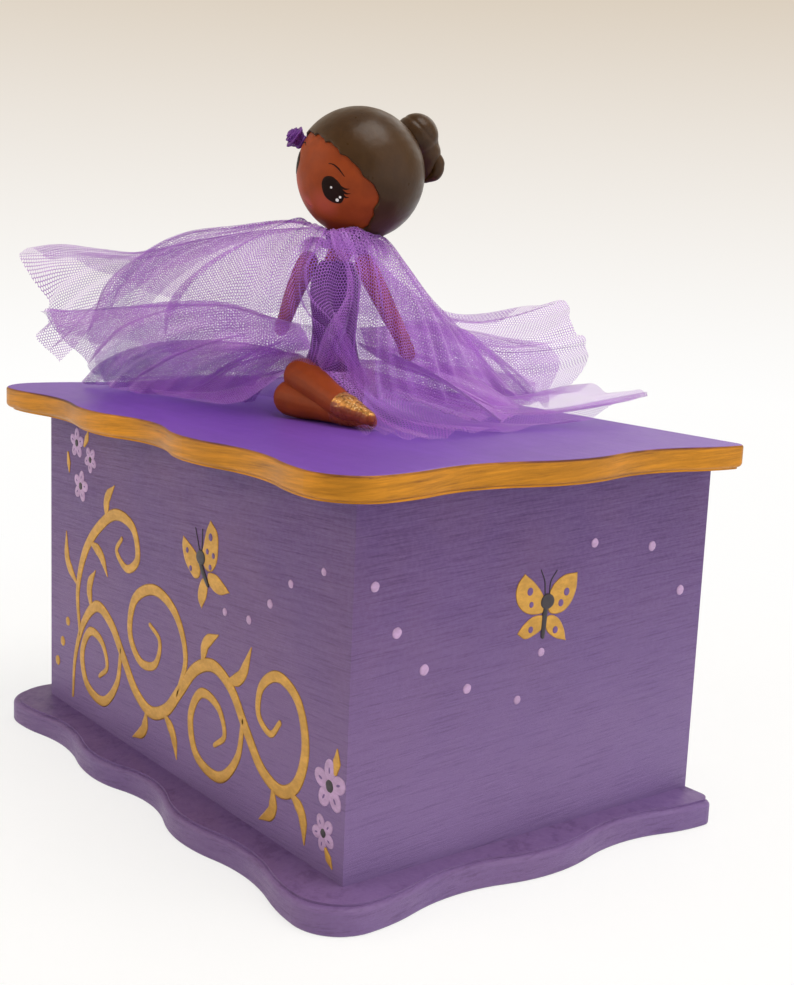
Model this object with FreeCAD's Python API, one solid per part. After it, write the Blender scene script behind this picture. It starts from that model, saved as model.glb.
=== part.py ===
"""Ballerina jewellery box: a scalloped wooden box with a seated doll on its hinged lid.

Millimetres. The origin is under the middle of the walls, on the underside of the base.
+X is to the right along the front, the front faces -Y, the hinges are at +Y and +Z is up.
"""
import FreeCAD
import Part
import math
import os

V = FreeCAD.Vector
UP = V(0, 0, 1)
DOWN = V(0, 0, -1)
BACKWARD = V(0, 1, 0)
RIGHTWARD = V(1, 0, 0)

# Box and boards
BOX_WIDTH = 200.0
BOX_DEPTH = 145.0
WALL_HEIGHT = 113.4
WALL_THICKNESS = 8.0
BASE_THICKNESS = 8.8
BASE_LEDGE_SIDE = 13.3
BASE_LEDGE_FRONT = 15.4
LID_THICKNESS = 8.1
LID_OVERHANG_SIDE = 14.8
LID_OVERHANG_FRONT = 16.9
LID_BACK_SETBACK = 0.1
LID_GAP = 0.2

# Scalloped outline of the two boards
FRONT_DIPS = (4.4, 6.0, 4.4)
SIDE_DIPS = (5.0, 5.0)
FRONT_CORNER_RADIUS = 16.0
BACK_CORNER_RADIUS = 4.0
MOULDING_INSET = 1.9
MOULDING_STEP = 0.7
MOULDING_ROUND = 1.6
ARRIS_ROUND = 1.0

# Lining, divider and movement cover
FELT_THICKNESS = 2.0
LID_FELT_THICKNESS = 0.8
FELT_MARGIN = 0.4
FELT_CORNER = 3.0
LID_FELT_MARGIN = 2.0
DIVIDER_THICKNESS = 5.0
MOVEMENT_BAY_DEPTH = 42.5
MOVEMENT_BAY_HEIGHT = 51.2
COVER_THICKNESS = 4.0
COVER_GAP = 0.4
LEDGE_SIZE = 5.0

# Hinges
HINGE_OFFSET = 62.0
HINGE_LENGTH = 28.0
HINGE_LEAF_WIDTH = 7.0
HINGE_LEAF_THICKNESS = 0.9
KNUCKLE_RADIUS = 1.7
KNUCKLE_GAP = 0.2
KNUCKLE_WALL_GAP = 0.1
LEAF_EDGE_GAP = 0.15
HINGE_PIN_RADIUS = 0.8
HINGE_PIN_HEAD = 1.3
RUNNING_CLEARANCE = 0.05
FIXED_CLEARANCE = 0.03
HINGE_SCREW_RADIUS = 1.0
HINGE_SCREW_HEAD = 1.8
HINGE_SCREW_LENGTH = 6.0
HINGE_SCREW_SPACING = 18.0
LID_OPEN_ANGLE = 100.0
STOP_LUG_LENGTH = 2.7
STOP_LUG_THICKNESS = 0.9
STOP_LUG_SPARE = 1.5

# Movement, all arbors but the fly lie front to back
KEY_AXIS_X = -18.0
KEY_AXIS_HEIGHT = 23.2
BEDPLATE_THICKNESS = 3.0
BEDPLATE_LEFT = -38.0
BEDPLATE_RIGHT = 36.0
BEDPLATE_MARGIN = 2.0
PLATE_THICKNESS = 2.0
FRONT_PLATE_INSET = 4.0
REAR_PLATE_INSET = 6.5
PLATE_TOP_MARGIN = 5.0
PLATE_FOOT_WIDTH = 6.0
PLATE_FOOT_THICKNESS = 2.0
AXIAL_PLAY = 0.6
PIVOT_RADIUS = 1.0
ARBOR_RADIUS = 2.0

# Gear train
GREAT_MODULE = 0.8
GREAT_TEETH = 36
CYLINDER_PINION_TEETH = 12
FINE_MODULE = 0.5
CYLINDER_WHEEL_TEETH = 40
GOVERNOR_PINION_TEETH = 10
WORM_WHEEL_TEETH = 24
ADDENDUM = 0.8
DEDENDUM = 1.25
TOOTH_SHARE_AT_ROOT = 0.50
TOOTH_SHARE_AT_TIP = 0.22
CENTRE_ALLOWANCE = 0.12
GREAT_WHEEL_WIDTH = 2.5
FINE_WHEEL_WIDTH = 1.8
WORM_WHEEL_WIDTH = 1.0
GOVERNOR_ANGLE = 50.0

# Spring barrel
BARREL_RADIUS = 10.4
BARREL_LENGTH = 16.0
BARREL_WALL = 1.1
SPRING_TURNS = 6
SPRING_THICKNESS = 0.35
SPRING_CORE_GAP = 1.5

# Cylinder and comb
CYLINDER_RADIUS = 6.4
CYLINDER_LENGTH = 17.5
CYLINDER_WALL = 1.2
PIN_RADIUS = 0.22
PIN_HEIGHT = 0.45
NOTE_COUNT = 18
PINS_PER_NOTE = 3
COMB_LENGTH = 21.0
COMB_BACK = 9.0
COMB_THICKNESS = 1.2
COMB_SLOT = 0.25
COMB_TIP_GAP = 0.4
COMB_SCREW_RADIUS = 1.1
COMB_SCREW_HEAD = 2.0

# Governor
WORM_PITCH_RADIUS = 1.75
WORM_LENGTH = 9.4
THREAD_BASE_SHARE = 0.42
THREAD_TIP_SHARE = 0.2
THREAD_SINK = 0.15
WORM_FOOT = 1.0
FLY_STANDOFF = 1.5
FLY_RADIUS = 4.8
FLY_HEIGHT = 6.5
FLY_THICKNESS = 0.4
BRACKET_THICKNESS = 2.0
BRACKET_STANDOFF = 5.9
BRACKET_ARM_HALF = 2.5
COCK_SETBACK = 1.2
GOVERNOR_ARBOR_RADIUS = 1.5
STOP_FINGER_ANGLE = 45.0
STOP_WIRE_RADIUS = 0.8
STOP_HOLE_CLEARANCE = 0.4
STOP_WIRE_OFFSET_X = 30.0
STOP_WIRE_WALL_GAP = 2.3
STOP_BUTTON_RADIUS = 1.9
STOP_BUTTON_THICKNESS = 1.6
STOP_BUTTON_GAP = 0.4
STOP_GUIDE_SIZE = 5.0

# Winding key
KEY_HUB_RADIUS = 3.6
KEY_HUB_LENGTH = 13.0
KEY_WALL_GAP = 3.0
KEY_WING_RADIUS = 6.6
KEY_WING_HOLE = 3.4
KEY_WING_OFFSET = 8.6
KEY_WING_THICKNESS = 2.0
BUSH_FLANGE_RADIUS = 6.0
BUSH_FLANGE_THICKNESS = 1.0
BUSH_SLEEVE_RADIUS = 3.2

# Wood screws of the movement
BED_SCREW_RADIUS = 1.2
BED_SCREW_HEAD = 2.3
BED_SCREW_LENGTH = 7.0
BED_SCREW_MARGIN = 4.0

# Doll
DOLL_X = 9.5
DOLL_Y = -19.0
TORSO_TURN = 30.0
HIP_RADIUS = 11.0
SEAT_RADIUS = 9.46
WAIST_RADIUS = 7.4
CHEST_RADIUS = 8.4
HIP_HEIGHT = 9.0
WAIST_HEIGHT = 29.0
CHEST_HEIGHT = 44.0
SHOULDER_HEIGHT = 52.5
NECK_RADIUS = 3.9
COLLAR_MARGIN = 1.2
CHIN_SINK = 3.3
NECK_LEAN_X = 3.0
NECK_LEAN_Y = 3.5
HEAD_RADIUS = 20.9
HEAD_OFFSET_X = 4.5
HEAD_OFFSET_Y = 5.0
CHIN_HEIGHT = 60.5
HEAD_TILT = 23.5
HEAD_NOD = 5.0
SHOULDER_HALF_WIDTH = 10.5
ARM_RADIUS = 3.7
WRIST_RADIUS = 2.6
HAND_RADIUS = 3.1
CLAY_GAP = 0.08

# Arms, from the shoulders: out, forward and height above the lid
RIGHT_WRIST = (6.5, 3.2, 32.5)
RIGHT_HAND = (7.6, 3.8, 29.0)
LEFT_ELBOW = (7.0, 0.0, 40.5)
LEFT_WRIST = (15.4, 0.0, 26.5)
LEFT_HAND = (16.6, 0.0, 23.5)
ELBOW_RADIUS = 3.4
SHOULDER_DROP = 0.5

# Folded legs, from the seat: right, back and height above the lid
LOWER_HIP = (3.2, 1.8, 7.2)
LOWER_KNEE = (-3.5, -14.0, 6.6)
LOWER_ANKLE = (19.0, -11.0, 5.0)
LOWER_TOE = (35.5, -8.6, 3.6)
LOWER_RADII = (6.4, 4.7, 3.3)
UPPER_HIP = (-3.5, -2.0, 16.0)
UPPER_KNEE = (-2.0, -10.8, 16.4)
UPPER_ANKLE = (19.0, -8.4, 12.4)
UPPER_TOE = (34.5, -6.2, 8.0)
UPPER_RADII = (5.9, 4.4, 3.1)
JOINT_TAPER = 0.985

# Hair and trimmings
HAIR_THICKNESS = 0.8
HAIR_GAP = 0.05
HAIRLINE_FORWARD = 0.31
HAIRLINE_RISE = 0.20
BUN_RADIUS = 7.7
CURL_ROOT_RADIUS = 2.5
CURL_RADIUS = 2.1
CHOKER_RADIUS = 2.1
CHOKER_EMBED = 0.2
CHOKER_HEIGHT_SHARE = 0.6
NECK_PIN_RADIUS = 0.9
NECK_PIN_LENGTH = 22.0
NECK_PIN_START = 0.6
NECK_PIN_END_ROOM = 0.2
FLOWER_PETALS = 5
FLOWER_CORE_RADIUS = 3.4
FLOWER_CORE_RISE = 1.4
PETAL_RADIUS = 2.85
PETAL_RING_RADIUS = 3.0

# Where the trimmings sit: her left, up and face directions and the distance in head radii
BUN_SPOT = (0, 0.46, -0.89, 1.14)
CURL_ROOT_SPOT = (0.22, 0.20, -0.95, 1.22)
CURL_TIP_SPOT = (0.36, 0.02, -0.93, 1.30)
FLOWER_SPOT = (-0.95, 0.147, 0.644, 1.14)

# Net skirt
NET_THICKNESS = 0.8
WAISTBAND_GAP = 0.3
NECK_GATHER = 9.5
MIDDLE_FOLD_SHARE = 0.4
SKIRT_LAYERS = {
    "skirt_under_layer": {"from_neck": False, "angles": (-2, 204), "folds": 11, "gather": (1.2, 12.0),
                          "middle": (50.0, 4.6, 5.2, 5.2), "hem": (104.0, 2.2, 2.4, 3.4), "fold": 1.4},
    "skirt_middle_layer": {"from_neck": False, "angles": (-2, 200), "folds": 9, "gather": (-0.6, 16.0),
                           "middle": (50.0, 13.0, 20.0, 17.0), "hem": (107.0, 10.0, 33.0, 19.0), "fold": 3.2},
    "skirt_top_layer": {"from_neck": True, "angles": (0, 218), "folds": 8, "gather": (0.0, 59.0),
                        "middle": (45.0, 32.0, 42.0, 57.0), "hem": (104.0, 20.0, 45.0, 50.0), "fold": 3.6},
    "skirt_front_fall": {"from_neck": True, "angles": (-52, -5), "folds": 3, "gather": (0.0, 58.0),
                         "middle": (19.0, 33.0, 33.0, 33.0), "hem": (56.0, 11.0, 13.0, 15.0), "fold": 1.8},
}

# Levels worked out from the sizes above
HALF_WIDTH = BOX_WIDTH / 2
HALF_DEPTH = BOX_DEPTH / 2
INNER_X = HALF_WIDTH - WALL_THICKNESS
INNER_Y = HALF_DEPTH - WALL_THICKNESS
RIM = BASE_THICKNESS + WALL_HEIGHT
LID_UNDER = RIM + LID_GAP
LID_TOP = LID_UNDER + LID_THICKNESS
PIVOT_Y = HALF_DEPTH + KNUCKLE_RADIUS + KNUCKLE_WALL_GAP
PIVOT_Z = RIM + LID_GAP / 2
HEAD_HEIGHT = CHIN_HEIGHT + HEAD_RADIUS


def save(name, shape):
    """Write one node."""
    shape.exportStep("parts/%s.step" % name)


def box(x0, x1, y0, y1, z0, z1):
    """A box between two corners."""
    return Part.makeBox(x1 - x0, y1 - y0, z1 - z0, V(x0, y0, z0))


def rod(start, axis, radius, length):
    """A round bar from a start point."""
    return Part.makeCylinder(radius, length, start, axis)


def polygon(points):
    """A closed wire through points."""
    return Part.makePolygon(list(points) + [points[0]])


def prism(points, along):
    """A polygon pushed along a vector."""
    return Part.Face(polygon(points)).extrude(along)


def fuse(solids):
    """Join touching solids into one."""
    return solids[0].multiFuse(solids[1:]).removeSplitter()


def arc(a, b, c):
    """An arc edge through three points."""
    return Part.Arc(a, b, c).toShape()


def rounded_plate(x0, x1, y0, y1, z0, z1, radius):
    """A flat plate with round corners."""
    plate = box(x0, x1, y0, y1, z0, z1)
    upright = [e for e in plate.Edges if abs(e.tangentAt(e.FirstParameter).z) > 0.9]
    return plate.makeFillet(radius, upright)


def countersunk_screw(top, axis, radius, head_radius, length):
    """A screw whose flat head ends at top, with a driver slot, and axis pointing into the work."""
    head_height = head_radius - radius
    head = Part.makeCone(head_radius, radius, head_height, top, axis)
    shank = rod(top + axis * head_height, axis, radius, length - head_height)
    screw = fuse([head, shank])
    side = axis.cross(RIGHTWARD)
    if side.Length < 0.5:
        side = axis.cross(UP)
    cross = side.cross(axis)
    half = head_radius * 1.1
    slot_half = radius * 0.18
    corners = [
        top + side * half + cross * slot_half,
        top - side * half + cross * slot_half,
        top - side * half - cross * slot_half,
        top + side * half - cross * slot_half,
    ]
    return screw.cut(prism(corners, axis * (head_height * 0.5)))


def screw_hole(top, axis, radius, head_radius, length):
    """The room that a countersunk screw takes."""
    grown = FIXED_CLEARANCE
    head_height = head_radius - radius
    head = Part.makeCone(head_radius + grown, radius + grown, head_height, top, axis)
    return fuse([head, rod(top, axis, radius + grown, length + grown)])


# Scalloped boards


def dip_arcs(start, length, depth, place):
    """Three arcs of one scallop: a half bulge, the dip and a half bulge again."""
    quarter = length / 4
    radius = (quarter ** 2 + (depth / 2) ** 2) / depth
    sweep = math.asin(quarter / radius)

    def bulge(centre, angle):
        return place(centre + radius * math.sin(angle), radius - radius * math.cos(angle))

    def dip(angle):
        inward = depth - radius + radius * math.cos(angle)
        return place(start + length / 2 + radius * math.sin(angle), inward)

    end = start + length
    return [
        arc(bulge(start, 0), bulge(start, sweep / 2), bulge(start, sweep)),
        arc(dip(-sweep), dip(0), dip(sweep)),
        arc(bulge(end, -sweep), bulge(end, -sweep / 2), bulge(end, 0)),
    ]


def scalloped_run(first, last, depths, place):
    """A row of equal scallops between two stations."""
    length = (last - first) / len(depths)
    edges = []
    for i, depth in enumerate(depths):
        edges += dip_arcs(first + i * length, length, depth, place)
    return edges


def corner_arc(centre_x, centre_y, radius, from_angle, z):
    """A quarter circle that turns left."""
    spots = []
    for step in (0, 45, 90):
        angle = math.radians(from_angle + step)
        spots.append(V(centre_x + radius * math.cos(angle), centre_y + radius * math.sin(angle), z))
    return arc(*spots)


def scalloped_wire(half_width, front, back, z):
    """Outline with scallops on the front and sides and a straight back."""
    big = FRONT_CORNER_RADIUS
    small = BACK_CORNER_RADIUS
    edges = scalloped_run(-half_width + big, half_width - big, FRONT_DIPS, lambda s, w: V(s, front + w, z))
    edges.append(corner_arc(half_width - big, front + big, big, -90, z))
    edges += scalloped_run(front + big, back - small, SIDE_DIPS, lambda s, w: V(half_width - w, s, z))
    edges.append(corner_arc(half_width - small, back - small, small, 0, z))
    edges.append(Part.makeLine(V(half_width - small, back, z), V(-half_width + small, back, z)))
    edges.append(corner_arc(-half_width + small, back - small, small, 90, z))
    edges += scalloped_run(-back + small, -front - big, SIDE_DIPS, lambda s, w: V(-half_width + w, -s, z))
    edges.append(corner_arc(-half_width + big, front + big, big, 180, z))
    return Part.Wire(Part.__sortEdges__(edges))


def rim_edges(solid, z):
    """Edges of a solid that lie wholly at one height."""
    return [e for e in solid.Edges if abs(e.BoundBox.ZMin - z) < 1e-4 and abs(e.BoundBox.ZMax - z) < 1e-4]


def moulded_board(half_width, front, back, bottom, thickness, step_up):
    """A board with a rounded edge and a fillet step, at the top or underneath."""
    outline = scalloped_wire(half_width, front, back, 0)
    inner = scalloped_wire(half_width - MOULDING_INSET, front + MOULDING_INSET, back, 0)
    full = thickness - MOULDING_STEP
    band = Part.Face(outline).extrude(UP * full)
    band = band.makeFillet(MOULDING_ROUND, [e for e in rim_edges(band, full) if e.CenterOfMass.y < back - 1])
    band = band.makeFillet(ARRIS_ROUND, [e for e in rim_edges(band, 0) if e.CenterOfMass.y < back - 1])
    step = Part.Face(inner).extrude(UP * MOULDING_STEP)
    step.translate(UP * full)
    board = fuse([band, step])
    if not step_up:
        board = board.mirror(V(0, 0, thickness / 2), UP)
    board.translate(UP * bottom)
    return board


def hinge_centres():
    """X of the two hinges."""
    return {"left": -HINGE_OFFSET, "right": HINGE_OFFSET}


def hinge_screw_spots(centre):
    """X of the screws of one hinge leaf."""
    return (centre - HINGE_SCREW_SPACING / 2, centre + HINGE_SCREW_SPACING / 2)


HINGE_SCREW_Y = HALF_DEPTH - HINGE_LEAF_WIDTH / 2
LEAF_BACK = HALF_DEPTH - LEAF_EDGE_GAP
LEAF_FRONT = LEAF_BACK - HINGE_LEAF_WIDTH


def leaf_recess(centre, bottom):
    """Mortise for one hinge leaf."""
    half = HINGE_LENGTH / 2 + FIXED_CLEARANCE
    return box(centre - half, centre + half, LEAF_FRONT - FIXED_CLEARANCE, HALF_DEPTH + 1,
               bottom, bottom + HINGE_LEAF_THICKNESS)


def key_axis():
    """Point on the winding axis at the height of the barrel."""
    return V(KEY_AXIS_X, 0, BASE_THICKNESS + KEY_AXIS_HEIGHT)


def build_carcass():
    """Base, four mitred walls, divider, cover and felt."""
    base = moulded_board(HALF_WIDTH + BASE_LEDGE_SIDE, -HALF_DEPTH - BASE_LEDGE_FRONT, HALF_DEPTH,
                         0, BASE_THICKNESS, True)
    for x, y in bed_screw_spots():
        base = base.cut(rod(V(x, y, BASE_THICKNESS), DOWN, BED_SCREW_RADIUS + FIXED_CLEARANCE,
                            BED_SCREW_LENGTH))
    save("base_board", base)

    lift = UP * WALL_HEIGHT
    floor = BASE_THICKNESS
    outer = [V(-HALF_WIDTH, -HALF_DEPTH, floor), V(HALF_WIDTH, -HALF_DEPTH, floor),
             V(HALF_WIDTH, HALF_DEPTH, floor), V(-HALF_WIDTH, HALF_DEPTH, floor)]
    inner = [V(-INNER_X, -INNER_Y, floor), V(INNER_X, -INNER_Y, floor),
             V(INNER_X, INNER_Y, floor), V(-INNER_X, INNER_Y, floor)]
    walls = {}
    for i, name in enumerate(("front", "right", "back", "left")):
        j = (i + 1) % 4
        walls[name] = prism([outer[i], outer[j], inner[j], inner[i]], lift)
    for centre in hinge_centres().values():
        walls["back"] = walls["back"].cut(leaf_recess(centre, RIM - HINGE_LEAF_THICKNESS))
        for x in hinge_screw_spots(centre):
            walls["back"] = walls["back"].cut(
                rod(V(x, HINGE_SCREW_Y, RIM), DOWN, HINGE_SCREW_RADIUS + FIXED_CLEARANCE,
                    HINGE_SCREW_LENGTH + FIXED_CLEARANCE))
    hole = key_axis()
    hole.y = INNER_Y - 1
    walls["back"] = walls["back"].cut(rod(hole, BACKWARD, BUSH_SLEEVE_RADIUS + FIXED_CLEARANCE,
                                          WALL_THICKNESS + 2))
    for name, wall in walls.items():
        save(name + "_panel", wall)

    bay_front = INNER_Y - MOVEMENT_BAY_DEPTH
    bay_top = floor + MOVEMENT_BAY_HEIGHT
    save("divider_panel", box(-INNER_X, INNER_X, bay_front - DIVIDER_THICKNESS, bay_front, floor, bay_top))
    stop_x, stop_y = stop_wire_spot()
    cover_half = INNER_X - COVER_GAP
    cover = box(-cover_half, cover_half, bay_front - DIVIDER_THICKNESS, INNER_Y - COVER_GAP, bay_top,
                bay_top + COVER_THICKNESS)
    hole_radius = STOP_WIRE_RADIUS + STOP_HOLE_CLEARANCE
    cover = cover.cut(rod(V(stop_x, stop_y, bay_top - 1), UP, hole_radius, COVER_THICKNESS + 2))
    save("movement_cover", cover)
    ledges = []
    for side in (-1, 1):
        edge = side * INNER_X
        near = edge - side * LEDGE_SIZE
        ledges.append(box(min(edge, near), max(edge, near), bay_front, INNER_Y, bay_top - LEDGE_SIZE,
                          bay_top))
    save("cover_ledges", Part.makeCompound(ledges))
    save("floor_felt", rounded_plate(-INNER_X + FELT_MARGIN, INNER_X - FELT_MARGIN, -INNER_Y + FELT_MARGIN,
                                     bay_front - DIVIDER_THICKNESS - FELT_MARGIN, floor,
                                     floor + FELT_THICKNESS, FELT_CORNER))


def build_lid():
    """Scalloped lid board and the felt under it."""
    lid = moulded_board(HALF_WIDTH + LID_OVERHANG_SIDE, -HALF_DEPTH - LID_OVERHANG_FRONT,
                        HALF_DEPTH - LID_BACK_SETBACK, LID_UNDER, LID_THICKNESS, False)
    for centre in hinge_centres().values():
        lid = lid.cut(leaf_recess(centre, LID_UNDER))
        for x in hinge_screw_spots(centre):
            lid = lid.cut(rod(V(x, HINGE_SCREW_Y, LID_UNDER), UP, HINGE_SCREW_RADIUS + FIXED_CLEARANCE,
                              HINGE_SCREW_LENGTH + FIXED_CLEARANCE))
    save("lid_board", lid)
    half_x = INNER_X - LID_FELT_MARGIN
    back = HALF_DEPTH - WALL_THICKNESS - LID_FELT_MARGIN
    save("lid_felt", rounded_plate(-half_x, half_x, -INNER_Y + LID_FELT_MARGIN, back,
                                   LID_UNDER - LID_FELT_THICKNESS, LID_UNDER, FELT_CORNER))


# Hinges


def hinge_leaf(centre, plate_bottom, spans, screw_axis):
    """One leaf with its knuckles, screw holes and pin bore."""
    half = HINGE_LENGTH / 2
    top = plate_bottom + HINGE_LEAF_THICKNESS
    solids = [box(centre - half, centre + half, LEAF_FRONT, LEAF_BACK, plate_bottom, top)]
    for x0, x1 in spans:
        solids.append(box(x0, x1, LEAF_BACK, PIVOT_Y, plate_bottom, top))
        solids.append(rod(V(x0, PIVOT_Y, PIVOT_Z), RIGHTWARD, KNUCKLE_RADIUS, x1 - x0))
    leaf = fuse(solids)
    face = top if screw_axis.z < 0 else plate_bottom
    for x in hinge_screw_spots(centre):
        leaf = leaf.cut(screw_hole(V(x, HINGE_SCREW_Y, face), screw_axis, HINGE_SCREW_RADIUS,
                                   HINGE_SCREW_HEAD, HINGE_SCREW_LENGTH))
    return leaf


def stop_lug(x0, x1):
    """Lug on the lid knuckle that meets the wall when the lid is fully open."""
    reach = PIVOT_Y - HALF_DEPTH
    corner = math.hypot(STOP_LUG_LENGTH, STOP_LUG_THICKNESS / 2)
    lead = math.degrees(math.atan2(STOP_LUG_THICKNESS / 2, STOP_LUG_LENGTH))
    contact = 180 - math.degrees(math.acos(reach / corner)) - lead
    droop = contact - LID_OPEN_ANGLE - STOP_LUG_SPARE
    lug = box(x0, x1, PIVOT_Y, PIVOT_Y + STOP_LUG_LENGTH, PIVOT_Z - STOP_LUG_THICKNESS / 2,
              PIVOT_Z + STOP_LUG_THICKNESS / 2)
    lug.rotate(V(0, PIVOT_Y, PIVOT_Z), RIGHTWARD, -droop)
    return lug


def build_hinges():
    """Two butt hinges: box leaf, lid leaf and pin each, and their screws."""
    third = HINGE_LENGTH / 3
    box_screws = []
    lid_screws = []
    for name, centre in hinge_centres().items():
        left = centre - HINGE_LENGTH / 2
        outer = [(left, left + third - KNUCKLE_GAP), (left + 2 * third + KNUCKLE_GAP, left + HINGE_LENGTH)]
        middle = (left + third, left + 2 * third)
        bore_start = V(left - 1, PIVOT_Y, PIVOT_Z)
        leaf = hinge_leaf(centre, RIM - HINGE_LEAF_THICKNESS, outer, DOWN)
        leaf = leaf.cut(rod(bore_start, RIGHTWARD, HINGE_PIN_RADIUS + FIXED_CLEARANCE, HINGE_LENGTH + 2))
        save("hinge_%s_box_leaf" % name, leaf)
        leaf = hinge_leaf(centre, LID_UNDER, [middle], UP)
        leaf = leaf.fuse(stop_lug(*middle)).removeSplitter()
        leaf = leaf.cut(rod(bore_start, RIGHTWARD, HINGE_PIN_RADIUS + RUNNING_CLEARANCE, HINGE_LENGTH + 2))
        save("hinge_%s_lid_leaf" % name, leaf)
        pin = [rod(V(left, PIVOT_Y, PIVOT_Z), RIGHTWARD, HINGE_PIN_RADIUS, HINGE_LENGTH)]
        for x, way in ((left, -1), (left + HINGE_LENGTH, 1)):
            pin.append(Part.makeCone(HINGE_PIN_HEAD, HINGE_PIN_HEAD * 0.6, HINGE_PIN_HEAD * 0.7,
                                     V(x, PIVOT_Y, PIVOT_Z), RIGHTWARD * way))
        save("hinge_%s_pin" % name, fuse(pin))
        for x in hinge_screw_spots(centre):
            box_screws.append(countersunk_screw(V(x, HINGE_SCREW_Y, RIM), DOWN, HINGE_SCREW_RADIUS,
                                                HINGE_SCREW_HEAD, HINGE_SCREW_LENGTH))
            lid_screws.append(countersunk_screw(V(x, HINGE_SCREW_Y, LID_UNDER), UP, HINGE_SCREW_RADIUS,
                                                HINGE_SCREW_HEAD, HINGE_SCREW_LENGTH))
    save("hinge_box_screws", Part.makeCompound(box_screws))
    save("hinge_lid_screws", Part.makeCompound(lid_screws))


# Movement


BED_TOP = BASE_THICKNESS + BEDPLATE_THICKNESS
BAY_FRONT = INNER_Y - MOVEMENT_BAY_DEPTH
FRONT_PLATE_Y = BAY_FRONT + FRONT_PLATE_INSET
REAR_PLATE_Y = INNER_Y - REAR_PLATE_INSET - PLATE_THICKNESS
FRONT_FACE_Y = FRONT_PLATE_Y + PLATE_THICKNESS
AXIS_Z = BASE_THICKNESS + KEY_AXIS_HEIGHT
FINE_WHEEL_Y = FRONT_FACE_Y + AXIAL_PLAY
WORM_WHEEL_Y = FINE_WHEEL_Y + FINE_WHEEL_WIDTH + AXIAL_PLAY
GREAT_WHEEL_Y = WORM_WHEEL_Y + WORM_WHEEL_WIDTH + AXIAL_PLAY
CYLINDER_Y = GREAT_WHEEL_Y + GREAT_WHEEL_WIDTH + AXIAL_PLAY
CYLINDER_X = KEY_AXIS_X + GREAT_MODULE * (GREAT_TEETH + CYLINDER_PINION_TEETH) / 2 + CENTRE_ALLOWANCE
GOVERNOR_DISTANCE = FINE_MODULE * (CYLINDER_WHEEL_TEETH + GOVERNOR_PINION_TEETH) / 2 + CENTRE_ALLOWANCE
GOVERNOR_X = CYLINDER_X + GOVERNOR_DISTANCE * math.cos(math.radians(GOVERNOR_ANGLE))
GOVERNOR_Z = AXIS_Z + GOVERNOR_DISTANCE * math.sin(math.radians(GOVERNOR_ANGLE))
WORM_PITCH = math.pi * FINE_MODULE
WORM_X = GOVERNOR_X + FINE_MODULE * WORM_WHEEL_TEETH / 2 + WORM_PITCH_RADIUS + CENTRE_ALLOWANCE
WORM_Y = WORM_WHEEL_Y + WORM_WHEEL_WIDTH / 2
FLY_Z = GOVERNOR_Z + WORM_LENGTH / 2 + FLY_STANDOFF
BRACKET_X = WORM_X + BRACKET_STANDOFF
BRACKET_TOP = FLY_Z + FLY_HEIGHT + AXIAL_PLAY
WORM_FOOT_Z = GOVERNOR_Z - WORM_LENGTH / 2 - WORM_FOOT
COMB_TIP_X = CYLINDER_X + CYLINDER_RADIUS + PIN_HEIGHT + COMB_TIP_GAP
PLATE_LEFT = BEDPLATE_LEFT + BEDPLATE_MARGIN


def stop_wire_spot():
    """Plan position of the upright stop wire."""
    return STOP_WIRE_OFFSET_X, INNER_Y - STOP_WIRE_WALL_GAP


def bed_screw_spots():
    """Plan positions of the screws that hold the bedplate."""
    xs = (BEDPLATE_LEFT + BED_SCREW_MARGIN, BEDPLATE_RIGHT - BED_SCREW_MARGIN)
    ys = (BAY_FRONT + BEDPLATE_MARGIN + BED_SCREW_MARGIN, INNER_Y - BEDPLATE_MARGIN - BED_SCREW_MARGIN)
    return [(xs[0], ys[0]), (xs[1], ys[0]), (xs[0], ys[1]), (xs[1], ys[1])]


def gear(x, z, y, width, teeth, module, phase):
    """A spur wheel on a front to back axis; phase in teeth turns it about that axis."""
    pitch_radius = module * teeth / 2
    tip = pitch_radius + module * ADDENDUM
    root = pitch_radius - module * DEDENDUM
    step = 2 * math.pi / teeth
    points = []
    for i in range(teeth):
        middle = (i + phase) * step
        for radius, share in ((root, -TOOTH_SHARE_AT_ROOT), (tip, -TOOTH_SHARE_AT_TIP),
                              (tip, TOOTH_SHARE_AT_TIP), (root, TOOTH_SHARE_AT_ROOT)):
            angle = middle + share * step / 2
            points.append(V(x + radius * math.cos(angle), y, z + radius * math.sin(angle)))
    return prism(points, BACKWARD * width)


def ring(x, z, y, outer, inner, length):
    """A tube on a front to back axis."""
    tube = rod(V(x, y, z), BACKWARD, outer, length)
    return tube.cut(rod(V(x, y - 1, z), BACKWARD, inner, length + 2))


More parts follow.
